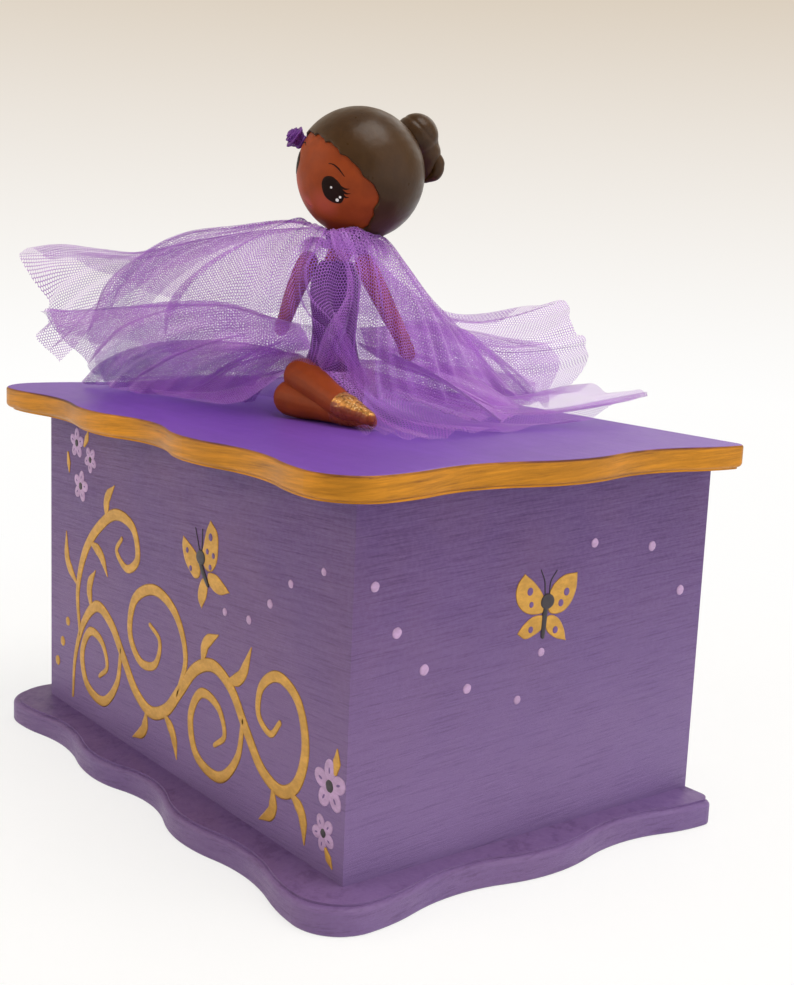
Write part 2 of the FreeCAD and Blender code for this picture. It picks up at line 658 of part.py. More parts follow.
def build_frame():
    """Bedplate, two bearing plates, key bush and the wood screws."""
    front = BAY_FRONT + BEDPLATE_MARGIN
    bed = rounded_plate(BEDPLATE_LEFT, BEDPLATE_RIGHT, front, INNER_Y - BEDPLATE_MARGIN, BASE_THICKNESS,
                        BED_TOP, BEDPLATE_MARGIN)
    screws = []
    for x, y in bed_screw_spots():
        top = V(x, y, BED_TOP)
        bed = bed.cut(screw_hole(top, DOWN, BED_SCREW_RADIUS, BED_SCREW_HEAD, BED_SCREW_LENGTH))
        screws.append(countersunk_screw(top, DOWN, BED_SCREW_RADIUS, BED_SCREW_HEAD, BED_SCREW_LENGTH))
    save("movement_bedplate", bed)
    save("bedplate_screws", Part.makeCompound(screws))

    plate_top = GOVERNOR_Z + PLATE_TOP_MARGIN
    right = GOVERNOR_X + PLATE_TOP_MARGIN
    foot_left = PLATE_LEFT + BED_SCREW_MARGIN * 2
    for name, y, foot_way in (("front", FRONT_PLATE_Y, -1), ("rear", REAR_PLATE_Y, 1)):
        plate = box(PLATE_LEFT, right, y, y + PLATE_THICKNESS, BED_TOP, plate_top)
        corners = [e for e in plate.Edges if e.BoundBox.ZMin > BED_TOP + 1 and e.BoundBox.YLength > 1
                   and e.BoundBox.XLength < 1e-6]
        plate = plate.makeFillet(PLATE_TOP_MARGIN, corners)
        foot_y = y - PLATE_FOOT_THICKNESS if foot_way < 0 else y + PLATE_THICKNESS
        foot = box(foot_left, right - PLATE_FOOT_WIDTH, foot_y, foot_y + PLATE_FOOT_THICKNESS, BED_TOP,
                   BED_TOP + PLATE_FOOT_THICKNESS)
        plate = fuse([plate, foot])
        bores = [(KEY_AXIS_X, AXIS_Z, ARBOR_RADIUS), (CYLINDER_X, AXIS_Z, PIVOT_RADIUS)]
        if name == "front":
            bores.append((GOVERNOR_X, GOVERNOR_Z, PIVOT_RADIUS))
        for x, z, radius in bores:
            plate = plate.cut(rod(V(x, y - 1, z), BACKWARD, radius + RUNNING_CLEARANCE, PLATE_THICKNESS + 2))
        save("movement_%s_plate" % name, plate)

    bore = ARBOR_RADIUS + RUNNING_CLEARANCE
    sleeve = ring(KEY_AXIS_X, AXIS_Z, INNER_Y, BUSH_SLEEVE_RADIUS, bore, WALL_THICKNESS)
    flange = ring(KEY_AXIS_X, AXIS_Z, HALF_DEPTH, BUSH_FLANGE_RADIUS, bore, BUSH_FLANGE_THICKNESS)
    save("key_bush", fuse([sleeve, flange]))


def build_barrel():
    """Spring barrel with its great wheel and cap, the mainspring, the winding arbor and the key."""
    bore = ARBOR_RADIUS + RUNNING_CLEARANCE
    wheel = gear(KEY_AXIS_X, AXIS_Z, GREAT_WHEEL_Y, GREAT_WHEEL_WIDTH, GREAT_TEETH, GREAT_MODULE, 0)
    drum_y = GREAT_WHEEL_Y + GREAT_WHEEL_WIDTH
    drum = ring(KEY_AXIS_X, AXIS_Z, drum_y, BARREL_RADIUS, BARREL_RADIUS - BARREL_WALL, BARREL_LENGTH)
    barrel = fuse([wheel, drum])
    barrel = barrel.cut(rod(V(KEY_AXIS_X, GREAT_WHEEL_Y - 1, AXIS_Z), BACKWARD, bore, GREAT_WHEEL_WIDTH + 2))
    save("spring_barrel", barrel)
    cap_y = drum_y + BARREL_LENGTH
    save("barrel_cap", ring(KEY_AXIS_X, AXIS_Z, cap_y, BARREL_RADIUS, bore, BARREL_WALL))

    inner = BARREL_RADIUS - BARREL_WALL - SPRING_THICKNESS - AXIAL_PLAY / 2
    core = ARBOR_RADIUS + SPRING_CORE_GAP
    pitch = (inner - core) / SPRING_TURNS
    coils = []
    spring_width = BARREL_LENGTH - 2 * AXIAL_PLAY
    for turn in range(2 * SPRING_TURNS):
        shift = pitch / 4 * (1 if turn % 2 else -1)
        radius = core + pitch / 4 + turn * pitch / 2
        top = 1 if turn % 2 == 0 else -1
        half_ring = ring(KEY_AXIS_X + shift, AXIS_Z, drum_y + AXIAL_PLAY, radius + SPRING_THICKNESS, radius,
                         spring_width)
        side = 4 * BARREL_RADIUS
        z0 = AXIS_Z if top > 0 else AXIS_Z - side
        keep = box(KEY_AXIS_X - side, KEY_AXIS_X + side, drum_y, cap_y, z0, z0 + side)
        coils.append(half_ring.common(keep))
    save("mainspring", fuse(coils))

    arbor_start = V(KEY_AXIS_X, FRONT_PLATE_Y, AXIS_Z)
    key_y = HALF_DEPTH + BUSH_FLANGE_THICKNESS + KEY_WALL_GAP
    arbor_length = key_y + KEY_HUB_LENGTH / 2 - FRONT_PLATE_Y
    save("winding_arbor", rod(arbor_start, BACKWARD, ARBOR_RADIUS, arbor_length))

    hub = rod(V(KEY_AXIS_X, key_y, AXIS_Z), BACKWARD, KEY_HUB_RADIUS, KEY_HUB_LENGTH)
    solids = [hub]
    holes = [rod(V(KEY_AXIS_X, key_y - 1, AXIS_Z), BACKWARD, ARBOR_RADIUS + FIXED_CLEARANCE,
                 KEY_HUB_LENGTH / 2 + 1 + FIXED_CLEARANCE)]
    wing_y = key_y + KEY_HUB_LENGTH - KEY_WING_RADIUS / 3
    for side in (-1, 1):
        centre = V(KEY_AXIS_X + side * KEY_WING_OFFSET, wing_y, AXIS_Z - KEY_WING_THICKNESS / 2)
        solids.append(rod(centre, UP, KEY_WING_RADIUS, KEY_WING_THICKNESS))
        holes.append(rod(centre - UP, UP, KEY_WING_HOLE, KEY_WING_THICKNESS + 2))
    key = fuse(solids)
    for hole in holes:
        key = key.cut(hole)
    save("winding_key", key)


def build_cylinder():
    """Pinned cylinder on its arbor with a pinion and a wheel, and the comb beside it."""
    shell = ring(CYLINDER_X, AXIS_Z, CYLINDER_Y, CYLINDER_RADIUS, CYLINDER_RADIUS - CYLINDER_WALL,
                 CYLINDER_LENGTH)
    ends = [ring(CYLINDER_X, AXIS_Z, y, CYLINDER_RADIUS - CYLINDER_WALL / 2, ARBOR_RADIUS + FIXED_CLEARANCE,
                 CYLINDER_WALL) for y in (CYLINDER_Y, CYLINDER_Y + CYLINDER_LENGTH - CYLINDER_WALL)]
    pins = []
    note_pitch = (CYLINDER_LENGTH - 2 * CYLINDER_WALL) / NOTE_COUNT
    for note in range(NOTE_COUNT):
        y = CYLINDER_Y + CYLINDER_WALL + (note + 0.5) * note_pitch
        for k in range(PINS_PER_NOTE):
            angle = math.radians(360 * k / PINS_PER_NOTE + 67 * note + 23 * k * note)
            out = V(math.cos(angle), 0, math.sin(angle))
            start = V(CYLINDER_X, y, AXIS_Z) + out * (CYLINDER_RADIUS - CYLINDER_WALL / 2)
            pins.append(rod(start, out, PIN_RADIUS, CYLINDER_WALL / 2 + PIN_HEIGHT))
    save("music_cylinder", fuse([shell] + ends + pins))

    far = REAR_PLATE_Y - AXIAL_PLAY
    solids = [rod(V(CYLINDER_X, FRONT_PLATE_Y, AXIS_Z), BACKWARD, PIVOT_RADIUS,
                  REAR_PLATE_Y + PLATE_THICKNESS - FRONT_PLATE_Y),
              rod(V(CYLINDER_X, FINE_WHEEL_Y, AXIS_Z), BACKWARD, ARBOR_RADIUS, far - FINE_WHEEL_Y)]
    pinion = gear(CYLINDER_X, AXIS_Z, GREAT_WHEEL_Y, GREAT_WHEEL_WIDTH, CYLINDER_PINION_TEETH, GREAT_MODULE,
                  0.5)
    save("cylinder_arbor", fuse(solids + [pinion]))
    bore = rod(V(CYLINDER_X, FRONT_PLATE_Y, AXIS_Z), BACKWARD, ARBOR_RADIUS + FIXED_CLEARANCE, far)
    wheel = gear(CYLINDER_X, AXIS_Z, FINE_WHEEL_Y, FINE_WHEEL_WIDTH, CYLINDER_WHEEL_TEETH, FINE_MODULE,
                 wheel_phase())
    save("cylinder_wheel", wheel.cut(bore))

    y0 = CYLINDER_Y + CYLINDER_WALL
    y1 = CYLINDER_Y + CYLINDER_LENGTH - CYLINDER_WALL
    z0 = AXIS_Z - COMB_THICKNESS / 2
    comb = box(COMB_TIP_X, COMB_TIP_X + COMB_LENGTH, y0, y1, z0, z0 + COMB_THICKNESS)
    slots = []
    for note in range(1, NOTE_COUNT):
        y = y0 + note * note_pitch
        slots.append(box(COMB_TIP_X - 1, COMB_TIP_X + COMB_LENGTH - COMB_BACK, y - COMB_SLOT / 2,
                         y + COMB_SLOT / 2, z0 - 1, z0 + COMB_THICKNESS + 1))
    comb = comb.cut(Part.makeCompound(slots))
    back = COMB_TIP_X + COMB_LENGTH
    block = box(back - COMB_BACK, back, y0, y1, BED_TOP, z0)
    screws = []
    length = COMB_BACK
    for y in (y0 + (y1 - y0) / 4, y1 - (y1 - y0) / 4):
        top = V(back - COMB_BACK / 2, y, z0 + COMB_THICKNESS)
        hole = screw_hole(top, DOWN, COMB_SCREW_RADIUS, COMB_SCREW_HEAD, length)
        comb = comb.cut(hole)
        block = block.cut(hole)
        screws.append(countersunk_screw(top, DOWN, COMB_SCREW_RADIUS, COMB_SCREW_HEAD, length))
    save("comb", comb)
    save("comb_block", block)
    save("comb_screws", Part.makeCompound(screws))


def wheel_phase():
    """Turn of the cylinder wheel, in teeth, that puts a tooth towards the governor pinion."""
    return (GOVERNOR_ANGLE / 360 * CYLINDER_WHEEL_TEETH) % 1


def pinion_phase():
    """Turn of the governor pinion, in teeth, that puts a gap towards the cylinder wheel."""
    return ((GOVERNOR_ANGLE + 180) / 360 * GOVERNOR_PINION_TEETH) % 1 + 0.5


def build_governor():
    """Governor arbor, worm wheel, worm with its fly, the bracket and the stop wire."""
    cock_y = GREAT_WHEEL_Y + COCK_SETBACK
    cock_end = cock_y + BRACKET_THICKNESS - AXIAL_PLAY
    solids = [rod(V(GOVERNOR_X, FRONT_PLATE_Y, GOVERNOR_Z), BACKWARD, PIVOT_RADIUS,
                  cock_end - FRONT_PLATE_Y),
              gear(GOVERNOR_X, GOVERNOR_Z, FINE_WHEEL_Y, FINE_WHEEL_WIDTH, GOVERNOR_PINION_TEETH,
                   FINE_MODULE, pinion_phase()),
              rod(V(GOVERNOR_X, FINE_WHEEL_Y, GOVERNOR_Z), BACKWARD, GOVERNOR_ARBOR_RADIUS,
                  cock_y - AXIAL_PLAY - FINE_WHEEL_Y)]
    save("governor_arbor", fuse(solids))
    wheel = gear(GOVERNOR_X, GOVERNOR_Z, WORM_WHEEL_Y, WORM_WHEEL_WIDTH, WORM_WHEEL_TEETH, FINE_MODULE, 0)
    save("worm_wheel", wheel.cut(rod(V(GOVERNOR_X, WORM_WHEEL_Y - 1, GOVERNOR_Z), BACKWARD,
                                     GOVERNOR_ARBOR_RADIUS + FIXED_CLEARANCE, WORM_WHEEL_WIDTH + 2)))

    core = WORM_PITCH_RADIUS - FINE_MODULE * DEDENDUM
    tip = WORM_PITCH_RADIUS + FINE_MODULE * ADDENDUM
    turns = round(WORM_LENGTH / WORM_PITCH) - 1
    helix = Part.makeHelix(WORM_PITCH, turns * WORM_PITCH, core)
    base_half = WORM_PITCH * THREAD_BASE_SHARE / 2
    tip_half = WORM_PITCH * THREAD_TIP_SHARE / 2
    sunk = core - THREAD_SINK
    profile = polygon([V(sunk, 0, -base_half), V(tip, 0, -tip_half), V(tip, 0, tip_half),
                       V(sunk, 0, base_half)])
    thread = Part.Wire(helix).makePipeShell([profile], True, True)
    thread.translate(V(WORM_X, WORM_Y, GOVERNOR_Z - turns // 2 * WORM_PITCH))
    spindle = [rod(V(WORM_X, WORM_Y, WORM_FOOT_Z), UP, core, FLY_Z + FLY_HEIGHT - WORM_FOOT_Z),
               rod(V(WORM_X, WORM_Y, WORM_FOOT_Z - BRACKET_THICKNESS / 2), UP, PIVOT_RADIUS / 2,
                   BRACKET_TOP + BRACKET_THICKNESS / 2 - WORM_FOOT_Z)]
    vane = box(WORM_X - FLY_RADIUS, WORM_X + FLY_RADIUS, WORM_Y - FLY_THICKNESS / 2,
               WORM_Y + FLY_THICKNESS / 2, FLY_Z, FLY_Z + FLY_HEIGHT)
    save("fly_worm", fuse(spindle + [thread, vane]))

    y0 = FRONT_FACE_Y + AXIAL_PLAY
    y1 = cock_y + BRACKET_THICKNESS
    foot_top = WORM_FOOT_Z - AXIAL_PLAY
    arm_left = WORM_X - BRACKET_ARM_HALF
    bracket = fuse([
        box(BRACKET_X, BRACKET_X + BRACKET_THICKNESS, y0, y1, BED_TOP, BRACKET_TOP + BRACKET_THICKNESS),
        box(arm_left, BRACKET_X, y0, y1, foot_top - BRACKET_THICKNESS, foot_top),
        box(arm_left, BRACKET_X, y0, y1, BRACKET_TOP, BRACKET_TOP + BRACKET_THICKNESS),
        box(GOVERNOR_X - BRACKET_ARM_HALF, BRACKET_X, cock_y, y1, GOVERNOR_Z - BRACKET_ARM_HALF,
            GOVERNOR_Z + BRACKET_ARM_HALF),
    ])
    bracket = bracket.cut(rod(V(GOVERNOR_X, cock_y - 1, GOVERNOR_Z), BACKWARD,
                              PIVOT_RADIUS + RUNNING_CLEARANCE, BRACKET_THICKNESS + 2))
    bracket = bracket.cut(rod(V(WORM_X, WORM_Y, BED_TOP), UP, PIVOT_RADIUS / 2 + RUNNING_CLEARANCE,
                              BRACKET_TOP + BRACKET_THICKNESS))
    save("governor_bracket", bracket)

    x, y = stop_wire_spot()
    finger_z = FLY_Z + STOP_WIRE_RADIUS * 1.5
    top = LID_UNDER - LID_FELT_THICKNESS - STOP_BUTTON_GAP
    reach = FLY_RADIUS + STOP_WIRE_RADIUS + AXIAL_PLAY
    aim = math.radians(STOP_FINGER_ANGLE)
    tip_at = V(WORM_X + reach * math.cos(aim), WORM_Y + reach * math.sin(aim), finger_z)
    elbow = V(x, y, finger_z)
    arm = tip_at - elbow
    wire = [rod(elbow, UP, STOP_WIRE_RADIUS, top - STOP_BUTTON_THICKNESS - finger_z),
            Part.makeSphere(STOP_WIRE_RADIUS * 1.02, elbow),
            rod(elbow, arm, STOP_WIRE_RADIUS, arm.Length),
            rod(V(x, y, top - STOP_BUTTON_THICKNESS), UP, STOP_BUTTON_RADIUS, STOP_BUTTON_THICKNESS)]
    save("stop_wire", fuse(wire))
    guides = []
    for z in (BASE_THICKNESS + MOVEMENT_BAY_HEIGHT - STOP_GUIDE_SIZE, RIM - 4 * STOP_GUIDE_SIZE):
        guide = box(x - STOP_GUIDE_SIZE / 2, x + STOP_GUIDE_SIZE / 2, y - STOP_WIRE_WALL_GAP, INNER_Y,
                    z, z + STOP_GUIDE_SIZE)
        guides.append(guide.cut(rod(V(x, y, z - 1), UP, STOP_WIRE_RADIUS + RUNNING_CLEARANCE,
                                    STOP_GUIDE_SIZE + 2)))
    save("stop_wire_guides", Part.makeCompound(guides))


# Doll


def capsule(p, r, q, s):
    """A tapered limb with round ends."""
    axis = q - p
    length = axis.Length
    lean = (r - s) / length
    flank = math.sqrt(1 - lean ** 2)
    half_r = math.sqrt((1 + lean) / 2)
    half_s = math.sqrt((1 - lean) / 2)
    start = V(0, 0, -r)
    low = V(r * flank, 0, r * lean)
    high = V(s * flank, 0, length + s * lean)
    end = V(0, 0, length + s)
    low_mid = V(r * half_r, 0, -r * half_s)
    high_mid = V(s * half_s, 0, length + s * half_r)
    profile = Part.Wire([arc(start, low_mid, low), Part.makeLine(low, high), arc(high, high_mid, end),
                         Part.makeLine(end, start)])
    solid = Part.Face(profile).revolve(V(0, 0, 0), UP, 360)
    if solid.Volume < 0:
        solid.reverse()
    turn = FreeCAD.Rotation(UP, axis)
    solid.Placement = FreeCAD.Placement(p, turn)
    return solid


def limb(stations):
    """Capsules joined along a list of points and radii."""
    pieces = []
    for k in range(len(stations) - 1):
        p, r = stations[k]
        q, s = stations[k + 1]
        shrink = JOINT_TAPER ** k
        pieces.append(capsule(p, r * shrink, q, s * shrink))
    if len(pieces) == 1:
        return pieces[0]
    return fuse(pieces)


def doll_point(right, forward, height):
    """A point from the middle of the doll's seat: across her shoulders, forward of her chest, up."""
    turn = math.radians(TORSO_TURN)
    x = DOLL_X + right * math.cos(turn) + forward * math.sin(turn)
    y = DOLL_Y + right * math.sin(turn) - forward * math.cos(turn)
    return V(x, y, LID_TOP + height)


def arm_point(side, spot):
    """A point of an arm on her right (-1) or left (1) side."""
    out, forward, height = spot
    return doll_point(side * (SHOULDER_HALF_WIDTH + out), forward, height)


def torso(grown):
    """The turned body from the seat to the shoulders, made larger by a margin."""
    heights = (0, HIP_HEIGHT, WAIST_HEIGHT, CHEST_HEIGHT, SHOULDER_HEIGHT)
    radii = (SEAT_RADIUS, HIP_RADIUS, WAIST_RADIUS, CHEST_RADIUS, NECK_RADIUS + COLLAR_MARGIN)
    points = [V(r + grown, 0, z) for r, z in zip(radii, heights)]
    points[-1].z += grown
    side = Part.BSplineCurve()
    side.interpolate(points)
    foot = V(0, 0, 0)
    peak = V(0, 0, points[-1].z)
    profile = Part.Wire([Part.makeLine(foot, points[0]), side.toShape(), Part.makeLine(points[-1], peak),
                         Part.makeLine(peak, foot)])
    body = Part.Face(profile).revolve(V(0, 0, 0), UP, 360)
    if body.Volume < 0:
        body.reverse()
    body.translate(V(DOLL_X, DOLL_Y, LID_TOP))
    return body


SEAT = V(DOLL_X, DOLL_Y, LID_TOP)
HEAD_CENTRE = V(DOLL_X + HEAD_OFFSET_X, DOLL_Y + HEAD_OFFSET_Y, LID_TOP + HEAD_HEIGHT)
NECK_BASE = V(DOLL_X, DOLL_Y, LID_TOP + SHOULDER_HEIGHT)
NECK_TOP = V(DOLL_X + NECK_LEAN_X, DOLL_Y + NECK_LEAN_Y, LID_TOP + CHIN_HEIGHT + CHIN_SINK)


def head_axes():
    """Her left, up and face directions after the head is tilted and nodded."""
    tilt = FreeCAD.Rotation(BACKWARD, HEAD_TILT)
    left = tilt.multVec(RIGHTWARD)
    nod = FreeCAD.Rotation(left, HEAD_NOD)
    up = nod.multVec(tilt.multVec(UP))
    face = nod.multVec(V(0, -1, 0))
    return left, up, face


def head_point(left, up, face, distance):
    """A point at a distance from the head's middle, in head radii, along a direction of the head."""
    a, b, c = head_axes()
    way = a * left + b * up + c * face
    way.normalize()
    return HEAD_CENTRE + way * (distance * HEAD_RADIUS)


def build_doll_body():
    """Bodice, neck, choker, arms, legs and slippers."""
    body = torso(0)
    room = torso(CLAY_GAP)
    save("doll_bodice", body)

    lean = NECK_TOP - NECK_BASE
    head_room = Part.makeSphere(HEAD_RADIUS + HAIR_THICKNESS + HAIR_GAP + CLAY_GAP, HEAD_CENTRE)
    pin = neck_pin()
    neck = rod(NECK_BASE - lean * 0.1, lean, NECK_RADIUS, lean.Length * 1.1)
    neck = neck.cut(room).cut(head_room).cut(pin_room())
    save("doll_neck", neck)
    save("neck_pin", pin)
    ring_at = NECK_BASE + lean * CHOKER_HEIGHT_SHARE
    choker = Part.makeTorus(NECK_RADIUS + CHOKER_RADIUS - CHOKER_EMBED, CHOKER_RADIUS, ring_at, lean)
    choker = choker.cut(rod(NECK_BASE - lean, lean, NECK_RADIUS + CLAY_GAP, lean.Length * 3)).cut(room)
    save("neck_choker", choker.cut(head_room))

    shoulder = SHOULDER_HEIGHT - SHOULDER_DROP
    right_arm = limb([(doll_point(-SHOULDER_HALF_WIDTH, 0, shoulder), ARM_RADIUS),
                      (arm_point(-1, RIGHT_WRIST), WRIST_RADIUS), (arm_point(-1, RIGHT_HAND), HAND_RADIUS)])
    left_arm = limb([(doll_point(SHOULDER_HALF_WIDTH, 0, shoulder), ARM_RADIUS),
                     (arm_point(1, LEFT_ELBOW), ELBOW_RADIUS), (arm_point(1, LEFT_WRIST), WRIST_RADIUS),
                     (arm_point(1, LEFT_HAND), HAND_RADIUS)])
    save("doll_right_arm", right_arm.cut(room))
    save("doll_left_arm", left_arm.cut(room))

    lower = [SEAT + V(*spot) for spot in (LOWER_HIP, LOWER_KNEE, LOWER_ANKLE, LOWER_TOE)]
    upper = [SEAT + V(*spot) for spot in (UPPER_HIP, UPPER_KNEE, UPPER_ANKLE, UPPER_TOE)]
    left_leg, left_slipper = leg_and_slipper(lower, LOWER_RADII, 0)
    right_leg, right_slipper = leg_and_slipper(upper, UPPER_RADII, 0)
    lower_room = fuse(leg_and_slipper(lower, LOWER_RADII, CLAY_GAP))
    save("doll_left_leg", left_leg.cut(room))
    save("left_slipper", left_slipper)
    save("doll_right_leg", right_leg.cut(room).cut(lower_room))
    save("right_slipper", right_slipper.cut(lower_room))


def leg_and_slipper(spots, radii, grown):
    """A folded leg cut at the ankle and the slipper beyond the cut, made larger by a margin."""
    hip, knee, ankle, toe = spots
    thick, slim, tip = [radius + grown for radius in radii]
    thigh = capsule(hip, thick * JOINT_TAPER, knee, thick * JOINT_TAPER * JOINT_TAPER)
    calf = capsule(knee, thick, ankle, slim)
    foot = capsule(ankle, slim, toe, tip)
    way = toe - ankle
    slab = 4 * thick
    cutter = Part.makeBox(slab, slab, slab, V(-slab / 2, -slab / 2, 0))
    cutter.Placement = FreeCAD.Placement(ankle, FreeCAD.Rotation(UP, way))
    return [fuse([thigh, calf]).cut(cutter), foot.common(cutter)]


def neck_pin():
    """Wire pin that carries the head on the neck."""
    lean = NECK_TOP - NECK_BASE
    lean.normalize()
    return rod(NECK_BASE + lean * NECK_PIN_START, lean, NECK_PIN_RADIUS, NECK_PIN_LENGTH)


def pin_room():
    """Hole for the neck pin."""
    lean = NECK_TOP - NECK_BASE
    lean.normalize()
    start = NECK_BASE + lean * (NECK_PIN_START - NECK_PIN_END_ROOM)
    return rod(start, lean, NECK_PIN_RADIUS + FIXED_CLEARANCE, NECK_PIN_LENGTH + 2 * NECK_PIN_END_ROOM)


def face_room():
    """The wedge in front of the hairline."""
    left, up, face = head_axes()
    size = 3 * HEAD_RADIUS
    start = face * (HAIRLINE_FORWARD * HEAD_RADIUS)
    corner = start + up * ((HAIRLINE_FORWARD - HAIRLINE_RISE) * HEAD_RADIUS)
    slope = face + up
    points = [corner, corner + slope * size, corner + slope * size - up * (3 * size), corner - up * size]
    shifted = [HEAD_CENTRE + p - left * size for p in points]
    return prism(shifted, left * (2 * size))


def build_head():
    """Head ball, hair cap, bun, curl and the flower on the temple."""
    ball = Part.makeSphere(HEAD_RADIUS, HEAD_CENTRE)
    save("doll_head", ball.cut(pin_room()))
    inner = HEAD_RADIUS + HAIR_GAP
    shell = Part.makeSphere(inner + HAIR_THICKNESS, HEAD_CENTRE).cut(Part.makeSphere(inner, HEAD_CENTRE))
    cap = shell.cut(face_room()).cut(pin_room())
    outer_ball = Part.makeSphere(inner + HAIR_THICKNESS + CLAY_GAP, HEAD_CENTRE)
    save("doll_hair", cap)

    bun_at = head_point(*BUN_SPOT)
    bun = Part.makeSphere(BUN_RADIUS, bun_at).cut(outer_ball)
    save("hair_bun", bun)
    curl_start = head_point(*CURL_ROOT_SPOT)
    curl_end = head_point(*CURL_TIP_SPOT)
    bun_room = Part.makeSphere(BUN_RADIUS + CLAY_GAP, bun_at)
    curl = capsule(curl_start, CURL_ROOT_RADIUS, curl_end, CURL_RADIUS)
    save("hair_curl", curl.cut(outer_ball).cut(bun_room))

    centre = head_point(*FLOWER_SPOT)
    way = centre - HEAD_CENTRE
    way.normalize()
    side = way.cross(UP)
    side.normalize()
    over = side.cross(way)
    petals = [Part.makeSphere(FLOWER_CORE_RADIUS, centre + way * FLOWER_CORE_RISE)]
    for k in range(FLOWER_PETALS):
        angle = 2 * math.pi * k / FLOWER_PETALS
        spot = centre + (side * math.cos(angle) + over * math.sin(angle)) * PETAL_RING_RADIUS
        petals.append(Part.makeSphere(PETAL_RADIUS, spot))
    flower = fuse(petals).cut(outer_ball)
    save("hair_flower", flower)


# Net skirt


def fan(centre, start, layer):
    """A pleated sheet that spreads from a gather of a start radius to its hem."""
    first, last = layer["angles"]
    steps = 2 * layer["folds"]
    gather_out, gather_height = layer["gather"]
    wires = []
    for i in range(steps + 1):
        share = i / steps
        angle = math.radians(first + (last - first) * share)
        across = V(math.cos(angle), math.sin(angle), 0)
        swing = layer["fold"] if i % 2 else -layer["fold"]
        middle = blend_three(share, layer["middle"][1:]) + swing * MIDDLE_FOLD_SHARE
        hem = blend_three(share, layer["hem"][1:]) + swing
        low = [centre + across * (start + gather_out) + UP * gather_height,
               centre + across * layer["middle"][0] + UP * middle,
               centre + across * layer["hem"][0] + UP * hem]
        high = [p + UP * NET_THICKNESS for p in low]
        wires.append(Part.Wire([arc(*low), Part.makeLine(low[2], high[2]), arc(high[2], high[1], high[0]),
                                Part.makeLine(high[0], low[0])]))
    return Part.makeLoft(wires, True, True)


def blend_three(share, values):
    """A smooth value through three even stations."""
    first, middle, last = values
    return (first * (1 - share) * (1 - 2 * share) + middle * 4 * share * (1 - share)
            - last * share * (1 - 2 * share))


def build_skirt():
    """Three pleated layers of net and the fall down the front."""
    neck = SEAT + V(NECK_LEAN_X / 2, NECK_LEAN_Y / 2, 0)
    for name, layer in SKIRT_LAYERS.items():
        if layer["from_neck"]:
            save(name, fan(neck, NECK_GATHER, layer))
        else:
            save(name, fan(SEAT, HIP_RADIUS + WAISTBAND_GAP, layer))


os.makedirs("parts", exist_ok=True)
build_carcass()
build_lid()
build_hinges()
build_frame()
build_barrel()
build_cylinder()
build_governor()
build_doll_body()
build_head()
build_skirt()
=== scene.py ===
import math

import bmesh
import bpy
import numpy as np
from bpy.props import FloatProperty, FloatVectorProperty, IntProperty, PointerProperty
from mathutils import Matrix, Vector


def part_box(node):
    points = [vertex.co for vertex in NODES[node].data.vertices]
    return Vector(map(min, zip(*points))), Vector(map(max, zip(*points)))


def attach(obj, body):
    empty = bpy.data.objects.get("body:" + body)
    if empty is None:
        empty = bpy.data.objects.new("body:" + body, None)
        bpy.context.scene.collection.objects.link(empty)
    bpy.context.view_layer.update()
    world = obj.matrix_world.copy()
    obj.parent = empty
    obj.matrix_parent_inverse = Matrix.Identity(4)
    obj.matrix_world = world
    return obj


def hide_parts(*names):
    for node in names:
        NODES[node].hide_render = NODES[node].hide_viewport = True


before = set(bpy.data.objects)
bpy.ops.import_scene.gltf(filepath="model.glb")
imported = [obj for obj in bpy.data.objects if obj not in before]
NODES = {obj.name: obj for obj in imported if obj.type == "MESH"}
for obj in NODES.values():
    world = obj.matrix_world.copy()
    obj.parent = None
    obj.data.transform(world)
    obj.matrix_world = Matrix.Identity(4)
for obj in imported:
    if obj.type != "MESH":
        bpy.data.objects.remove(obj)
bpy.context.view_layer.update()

bl_info = {
    "name": "Ballerina Jewellery Box",
    "version": (1, 0, 0),
    "blender": (4, 5, 0),
    "location": "View3D > Sidebar > Jewellery Box",
    "description": "Finishes, net skirt, doll and painted ornament for a wooden jewellery box",
    "category": "Object",
}

MM = 0.001
# Heights of the lid, outer faces of the front and right side, the head's place and bearings, and the seat
LID_LOW, LID_TOP = (corner.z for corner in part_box("lid_board"))
FRONT_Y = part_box("front_panel")[0].y
SIDE_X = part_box("right_panel")[1].x
HEAD_LOW, HEAD_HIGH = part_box("doll_head")
HEAD_CENTRE = np.array((HEAD_LOW + HEAD_HIGH) / 2)
HEAD_RADIUS = (HEAD_HIGH.x - HEAD_LOW.x) / 2
HEAD_LEFT = np.array((0.9151, 0.0719, -0.3969))
HEAD_UP = np.array((0.3972, -0.0799, 0.9143))
HEAD_FACE = np.cross(HEAD_LEFT, HEAD_UP)
SEAT = np.array((9.5 * MM, -19.0 * MM, LID_TOP))
TORSO_TURN = math.radians(30.0)


# Node tree helpers


